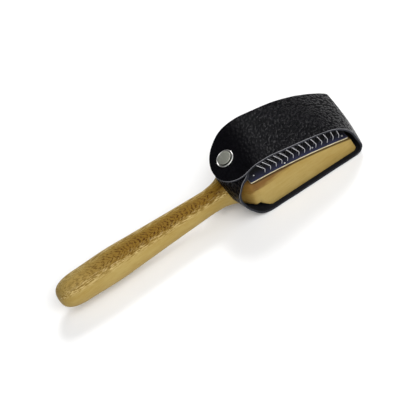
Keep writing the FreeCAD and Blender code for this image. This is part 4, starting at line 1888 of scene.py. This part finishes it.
    def stations(self, start: float, stop: float) -> list[float]:
        """Places along the strip where it has a ring, closer together at its rounded ends.

        Args:
            start: Where the stretch starts along the strip.
            stop: Where it stops.

        Returns:
            The places, in order.
        """
        start_rounding = 0.0 if start else self.tab_rounding
        stop_rounding = 0.0 if stop < self.path.length else self.far_rounding
        arcs = [1 - math.cos(turn) for turn in quarter_turns(self.rounding_steps)[:-1]]
        begin = [start + start_rounding * share for share in arcs] if start_rounding else []
        finish = [stop - stop_rounding * share for share in arcs] if stop_rounding else []
        low, high = start + start_rounding, stop - stop_rounding
        count = max(1, math.ceil((high - low) / self.step))
        return begin + [low + (high - low) * step / count for step in range(count + 1)] + finish[::-1]

    def edges(self, along: float) -> Pair:
        """Where the near and far edges lie across at a place, with the rounded corners of both ends.

        Args:
            along: How far along the strip the place is.

        Returns:
            The near edge's place across and the far edge's.
        """
        wander = self.edge_ripple.at(along)
        near, far = self.near_edge - wander, self.far_edge + wander
        if along < self.tab_rounding:
            back = self.tab_rounding - along
            drawn = self.tab_rounding - math.sqrt(max(0.0, self.tab_rounding ** 2 - back ** 2))
            near, far = near + drawn, far - drawn
        reach = self.path.length - along
        near = self.drawn_in(near, self.tip_across - self.tip_flat / 2, reach, self.near_rounding)
        far = self.drawn_in(far, self.tip_across + self.tip_flat / 2, reach, self.far_rounding)
        return near, far

    @staticmethod
    def drawn_in(edge: float, end: float, reach: float, rounding: float) -> float:
        """An edge's place across as it rounds in towards its end, over a last stretch before the tip."""
        share = max(0.0, 1 - reach / rounding)
        return end + (edge - end) * math.sqrt(1 - share ** 2)

    def lie(self, spot: Vector, along: float, share: float) -> Vector:
        """Where the worn leather lies, a little away from its laid-out line.

        Args:
            spot: The place on the laid-out strip, in XZ.
            along: Its distance along the strip.
            share: Its place across, from zero at the near edge to one at the far edge.

        Returns:
            The place as worn, in XZ.
        """
        outward = (2 * share - 1) ** 2
        if spot.x < self.crest_corner[0] and along < self.path.length / 2:
            edge_push = self.near_push if share < 0.5 else self.far_push
            push = edge_push.at(spot.y) * outward + self.bow_push.at(spot.y) * (1 - outward) ** 2
            return spot + Vector((push, 0.0))
        lift = self.near_lift.at(spot.x) * (1 - share) + self.far_lift.at(spot.x) * share
        lift += self.crown * (1 - outward) * eased_step(spot.x, *self.crown_start)
        push = self.front_push * share * (1 + self.front_fullness * (1 - share))
        push *= eased_step(spot.x, *self.front_start) * (1 - eased_step(spot.y, *self.front_head))
        foot = self.front_foot_share
        push *= foot + (1 - foot) * eased_step(spot.y, *self.front_foot)
        return spot + Vector((push, lift * eased_step(spot.y, *self.lift_start)))

    def ring(self, along: float) -> list[tuple[float, float, Side]]:
        """The strip's outline across at a place.

        Args:
            along: Where the ring stands along the strip.

        Returns:
            For each point its place across, its height above the inner line, and the surface after it.
        """
        near, far = self.edges(along)
        low, high = near + self.bevel, far - self.bevel
        spread = [low + (high - low) * column / self.columns for column in range(self.columns + 1)]
        top, bottom = [], []
        for across in spread:
            lift = self.face_ripple.at(along, across)
            top.append(self.thickness + lift - max(dent.at(along, across) for dent in self.outer_dents))
            bottom.append(lift + max(dent.at(along, across) for dent in self.inner_dents))
        outer, inner = list(zip(spread, top)), list(zip(spread, bottom))
        far_side = [(high + out, height) for out, height in self.edge_points(top[-1], bottom[-1])]
        near_side = [(low - out, height) for out, height in self.edge_points(top[0], bottom[0])]
        points = outer + far_side + inner[::-1] + near_side[::-1]
        cuts = len(far_side) - 1
        sides = [Side.GRAIN] * self.columns + [Side.CORNER] * 2 + [Side.CUT] * cuts
        sides += [Side.FLESH] * self.columns + [Side.CUT] * cuts + [Side.CORNER] * 2
        return [(across, height, side) for (across, height), side in zip(points, sides, strict=True)]

    def edge_points(self, top: float, bottom: float) -> list[Pair]:
        """The rounded cut edge, from under its upper corner to above its lower one.

        Args:
            top: The strip's outer height there.
            bottom: Its inner height there.

        Returns:
            For each point how far out it lies and its height.
        """
        upper = [(self.bevel * math.sin(turn), top - self.bevel * (1 - math.cos(turn)))
                 for turn in map(math.radians, self.upper_angles)]
        lower = [(self.bevel * math.cos(turn), bottom + self.bevel * (1 - math.sin(turn)))
                 for turn in map(math.radians, self.lower_angles)]
        return upper + lower

    def strip(self, name: str, start: float, stop: float) -> Item:
        """One closed stretch of the strip, with its flat coordinates kept as a map.

        Args:
            name: The piece's name.
            start: Where it starts along the strip.
            stop: Where it stops.

        Returns:
            The piece.
        """
        stations = self.stations(start, stop)
        rings = [self.ring(along) for along in stations]
        rows, count = len(rings), len(rings[0])
        points, flat_places = [], []
        for along, ring in zip(stations, rings):
            place, outward = self.path.at(along)
            for across, height, _ in ring:
                share = (across - self.near_edge) / (self.far_edge - self.near_edge)
                spot = self.lie(place + outward * height, along, min(1.0, max(0.0, share)))
                points.append((spot.x, across, spot.y))
                flat_places.append((along, across))
        ends = [face for row in (0, rows - 1) for face in self.end_faces(row * count, count)]
        slots = [side.value for ring in rings[:-1] for _, _, side in ring] + [Side.CUT.value] * len(ends)
        mesh = bpy.data.meshes.new(name)
        mesh.from_pydata(points, [], wall_faces(rows, count) + ends)
        self.dress(mesh, slots)
        flat_map = mesh.uv_layers.new(name=LeatherFinish.FLAT_MAP)
        for loop in mesh.loops:
            flat_map.data[loop.index].uv = flat_places[loop.vertex_index]
        with reworked(mesh) as work:
            bmesh.ops.recalc_face_normals(work, faces=work.faces)
        smooth_by_angle(mesh, self.crease_angle)
        return new_object(name, mesh)

    def end_faces(self, first: int, count: int) -> list[list[int]]:
        """Faces that close an end: quads from the outer side to the inner, and the two rounded edges.

        Args:
            first: The number of the end ring's first point.
            count: How many points the ring has.

        Returns:
            The faces as point numbers.
        """
        top = self.columns + 1
        edge = (count - 2 * top) // 2
        under = 2 * top + edge - 1
        faces = [[column, column + 1, under - column - 1, under - column] for column in range(self.columns)]
        faces.append(list(range(self.columns, top + edge + 1)))
        faces.append([*range(under, count), 0])
        return [[first + number for number in face] for face in faces]


@dataclass
class Snap:
    """The snap's cap, and the finish of its inner pieces."""

    finishes: Finishes
    cover: LeatherCover
    radius: float = 5.8 * MM
    sink: float = 0.1 * MM
    rim_width: float = 0.7 * MM
    rim_height: float = 0.75 * MM
    rim_steps: int = 12
    ground_radius: float = 4.45 * MM
    ground_height: float = 1.5 * MM
    ground_rounding: float = 0.2 * MM
    ground_steps: int = 8
    rounding_steps: int = 4
    floor_height: float = 0.4 * MM
    crown: float = 0.1 * MM
    skirt_height: float = 0.25 * MM
    skirt_inset: float = 0.2 * MM
    post_radius: float = 1.5 * MM
    post_length: float = 1.4 * MM
    mark_margin: float = 0.01 * MM
    sides: int = 72

    def build(self) -> Item:
        """Make the cap with its low rolled rim round a raised, slightly crowned ground.

        Returns:
            The piece.
        """
        place, outward = self.cover.path.at(self.cover.path.length - self.cover.snap_from_tip)
        seat = place + outward * (self.cover.thickness - self.sink)
        upward = Vector((outward.x, 0.0, outward.y)).to_track_quat("Z", "Y").to_matrix().to_4x4()
        stand = Matrix.Translation((seat.x, 0.0, seat.y)) @ upward
        cap = new_object("snap_cap_turned", turned("snap_cap_turned", self.outline(), self.sides, stand))
        self.dress(cap, stand)
        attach(cap, "cover_end")
        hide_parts("snap_cap")
        return cap

    def dress(self, cap: Item, stand: Matrix) -> None:
        """Give the cap its finish, and mark where it is satin and where its ground's side wall gets painted
        shade.

        Args:
            cap: The cap.
            stand: Where it stands.
        """
        cap.data.materials.append(self.finishes.nickel_cap)
        satin = cap.data.attributes.new(MetalFinish.SATIN, "FLOAT", "POINT")
        grime = cap.data.attributes.new(MetalFinish.PAINTED_SHADE, "FLOAT", "POINT")
        upright = stand.inverted()
        for vertex in cap.data.vertices:
            spot = upright @ vertex.co
            reach = spot.xy.length
            on_ground = reach < self.ground_radius - self.mark_margin and spot.z > self.floor_height
            # The ground's side wall is marked for painted shade.
            on_wall = abs(reach - self.ground_radius) < self.mark_margin
            satin.data[vertex.index].value = float(on_ground)
            grime.data[vertex.index].value = float(on_wall)

    def outline(self) -> list[Pair]:
        """The cap's outline from the middle of its ground round the rim to its post.

        Returns:
            Radius and height of each point.
        """
        roll = self.rim_width / 2
        level = self.ground_radius - self.ground_rounding
        shares = [step / self.ground_steps for step in range(self.ground_steps)]
        ground = [(level * share, self.ground_height + self.crown * (1 - share ** 2)) for share in shares]
        bend = (level, self.ground_height - self.ground_rounding)
        ground += arc_points(bend, self.ground_rounding, 90, 0, self.rounding_steps)
        groove = [(self.ground_radius, self.floor_height), (self.radius - self.rim_width, self.floor_height)]
        rim = arc_points((self.radius - roll, self.rim_height - roll), roll, 180, 0, self.rim_steps)
        skirt = [(self.radius, self.skirt_height), (self.radius - self.skirt_inset, 0.0)]
        post = [(self.post_radius, 0.0), (self.post_radius, -self.post_length), (0.0, -self.post_length)]
        return ground + groove + rim + skirt + post

    def dress_inner(self) -> None:
        """Give the snap's inner pieces their finishes."""
        for node in ("snap_socket", "snap_stud", "snap_eyelet"):
            dress_node(node, self.finishes.nickel)
        dress_node("snap_spring", self.finishes.wire)


def dress_node(node: str, material: Material) -> None:
    """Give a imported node's object a finish."""
    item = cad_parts[node]
    item.data.materials.clear()
    item.data.materials.append(material)


@dataclass(frozen=True)
class SoftBox:
    """A square soft light that faces the brush, with its power in watts."""

    name: str
    place: Triple
    size: float
    power: float

    def hang(self) -> None:
        """Put the light in the scene."""
        data = bpy.data.lights.new(self.name, "AREA")
        data.size = self.size
        data.energy = self.power
        item = bpy.data.objects.new(self.name, data)
        item.location = self.place
        item.rotation_euler = Vector(self.place).to_track_quat("Z", "Y").to_euler()
        bpy.context.scene.collection.objects.link(item)


@dataclass
class Studio:
    """The pale floor, the soft lights and the camera at the photograph's angle."""

    finishes: Finishes
    azimuth: float = -14.9
    elevation: float = 47.05
    roll: float = -22.0
    target: Triple = (1.5 * MM, 0.0, 20.5 * MM)
    breadth: float = 240.0 * MM
    lens: float = 1200.0
    sensor: float = 36.0
    far_clip: float = 100.0
    floor_size: float = 6.0
    floor_drop: float = 0.3 * MM
    front_glow: float = 0.46
    back_glow: float = 0.1
    glow_edges: Pair = (-0.35, 0.45)
    lights: tuple[SoftBox, ...] = (
        SoftBox("key_light", (-0.1, -0.9, 1.1), 1.1, 15.0),
        SoftBox("back_light", (0.50, 0.64, 0.86), 0.42, 9.0),
        SoftBox("fill_light", (0.9, -0.6, 0.6), 0.9, 5.0),
    )

    def build(self) -> None:
        """Set up floor, light and camera."""
        half = self.floor_size / 2
        places = ((-half, -half), (half, -half), (half, half), (-half, half))
        corners = [Vector((x, y, -self.floor_drop)) for x, y in places]
        floor = new_object("studio_floor", mesh_from("studio_floor", corners, [[0, 1, 2, 3]]))
        floor.data.materials.append(self.finishes.floor)
        for light in self.lights:
            light.hang()
        self.surround()
        self.camera()

    def surround(self) -> None:
        """A white surround, dimmer behind the brush than in front of it."""
        world = bpy.data.worlds.new("surround")
        world.use_nodes = True
        bench = Bench(world.node_tree)
        background = world.node_tree.nodes["Background"]
        bench.feed(background.inputs["Color"], WHITE)
        depth = bench.axes(bench.add("ShaderNodeTexCoord").outputs["Generated"])[1]
        glow = bench.span(depth, self.glow_edges, (self.front_glow, self.back_glow))
        bench.feed(background.inputs["Strength"], glow)
        bpy.context.scene.world = world
        bpy.context.scene.view_settings.view_transform = "Standard"

    def camera(self) -> None:
        """The camera, turned about its own axis as the photograph is."""
        turn, rise = math.radians(self.azimuth), math.radians(self.elevation)
        back = Vector((math.sin(turn) * math.cos(rise), -math.cos(turn) * math.cos(rise), math.sin(rise)))
        right = Vector((math.cos(turn), math.sin(turn), 0.0))
        upright = Matrix((right, back.cross(right), back)).transposed().to_4x4()
        distance = self.breadth / 2 * self.lens / (self.sensor / 2)
        data = bpy.data.cameras.new("camera")
        data.lens = self.lens
        data.sensor_width = self.sensor
        data.clip_end = self.far_clip
        item = bpy.data.objects.new("camera", data)
        rolled = upright @ Matrix.Rotation(math.radians(self.roll), 4, "Z")
        item.matrix_world = Matrix.Translation(Vector(self.target) + back * distance) @ rolled
        bpy.context.scene.collection.objects.link(item)
        bpy.context.scene.camera = item


def report(pieces: Sequence[Item]) -> None:
    """Log each piece with its face count."""
    for piece in pieces:
        LOG.info("%s: %d faces", piece.name, len(piece.data.polygons))


def main() -> None:
    """Build the brush from the wood outwards."""
    logging.basicConfig(level=logging.INFO)
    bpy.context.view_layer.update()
    wood = WoodenBody()
    finishes = Finishes(wood)
    report([wood.build(finishes.wood)])
    report(WirePad(finishes, wood).build())
    cover = LeatherCover(finishes, wood)
    report(cover.build())
    snap = Snap(finishes, cover)
    report([snap.build()])
    snap.dress_inner()
    Studio(finishes).build()


if __name__ == "__main__":
    main()
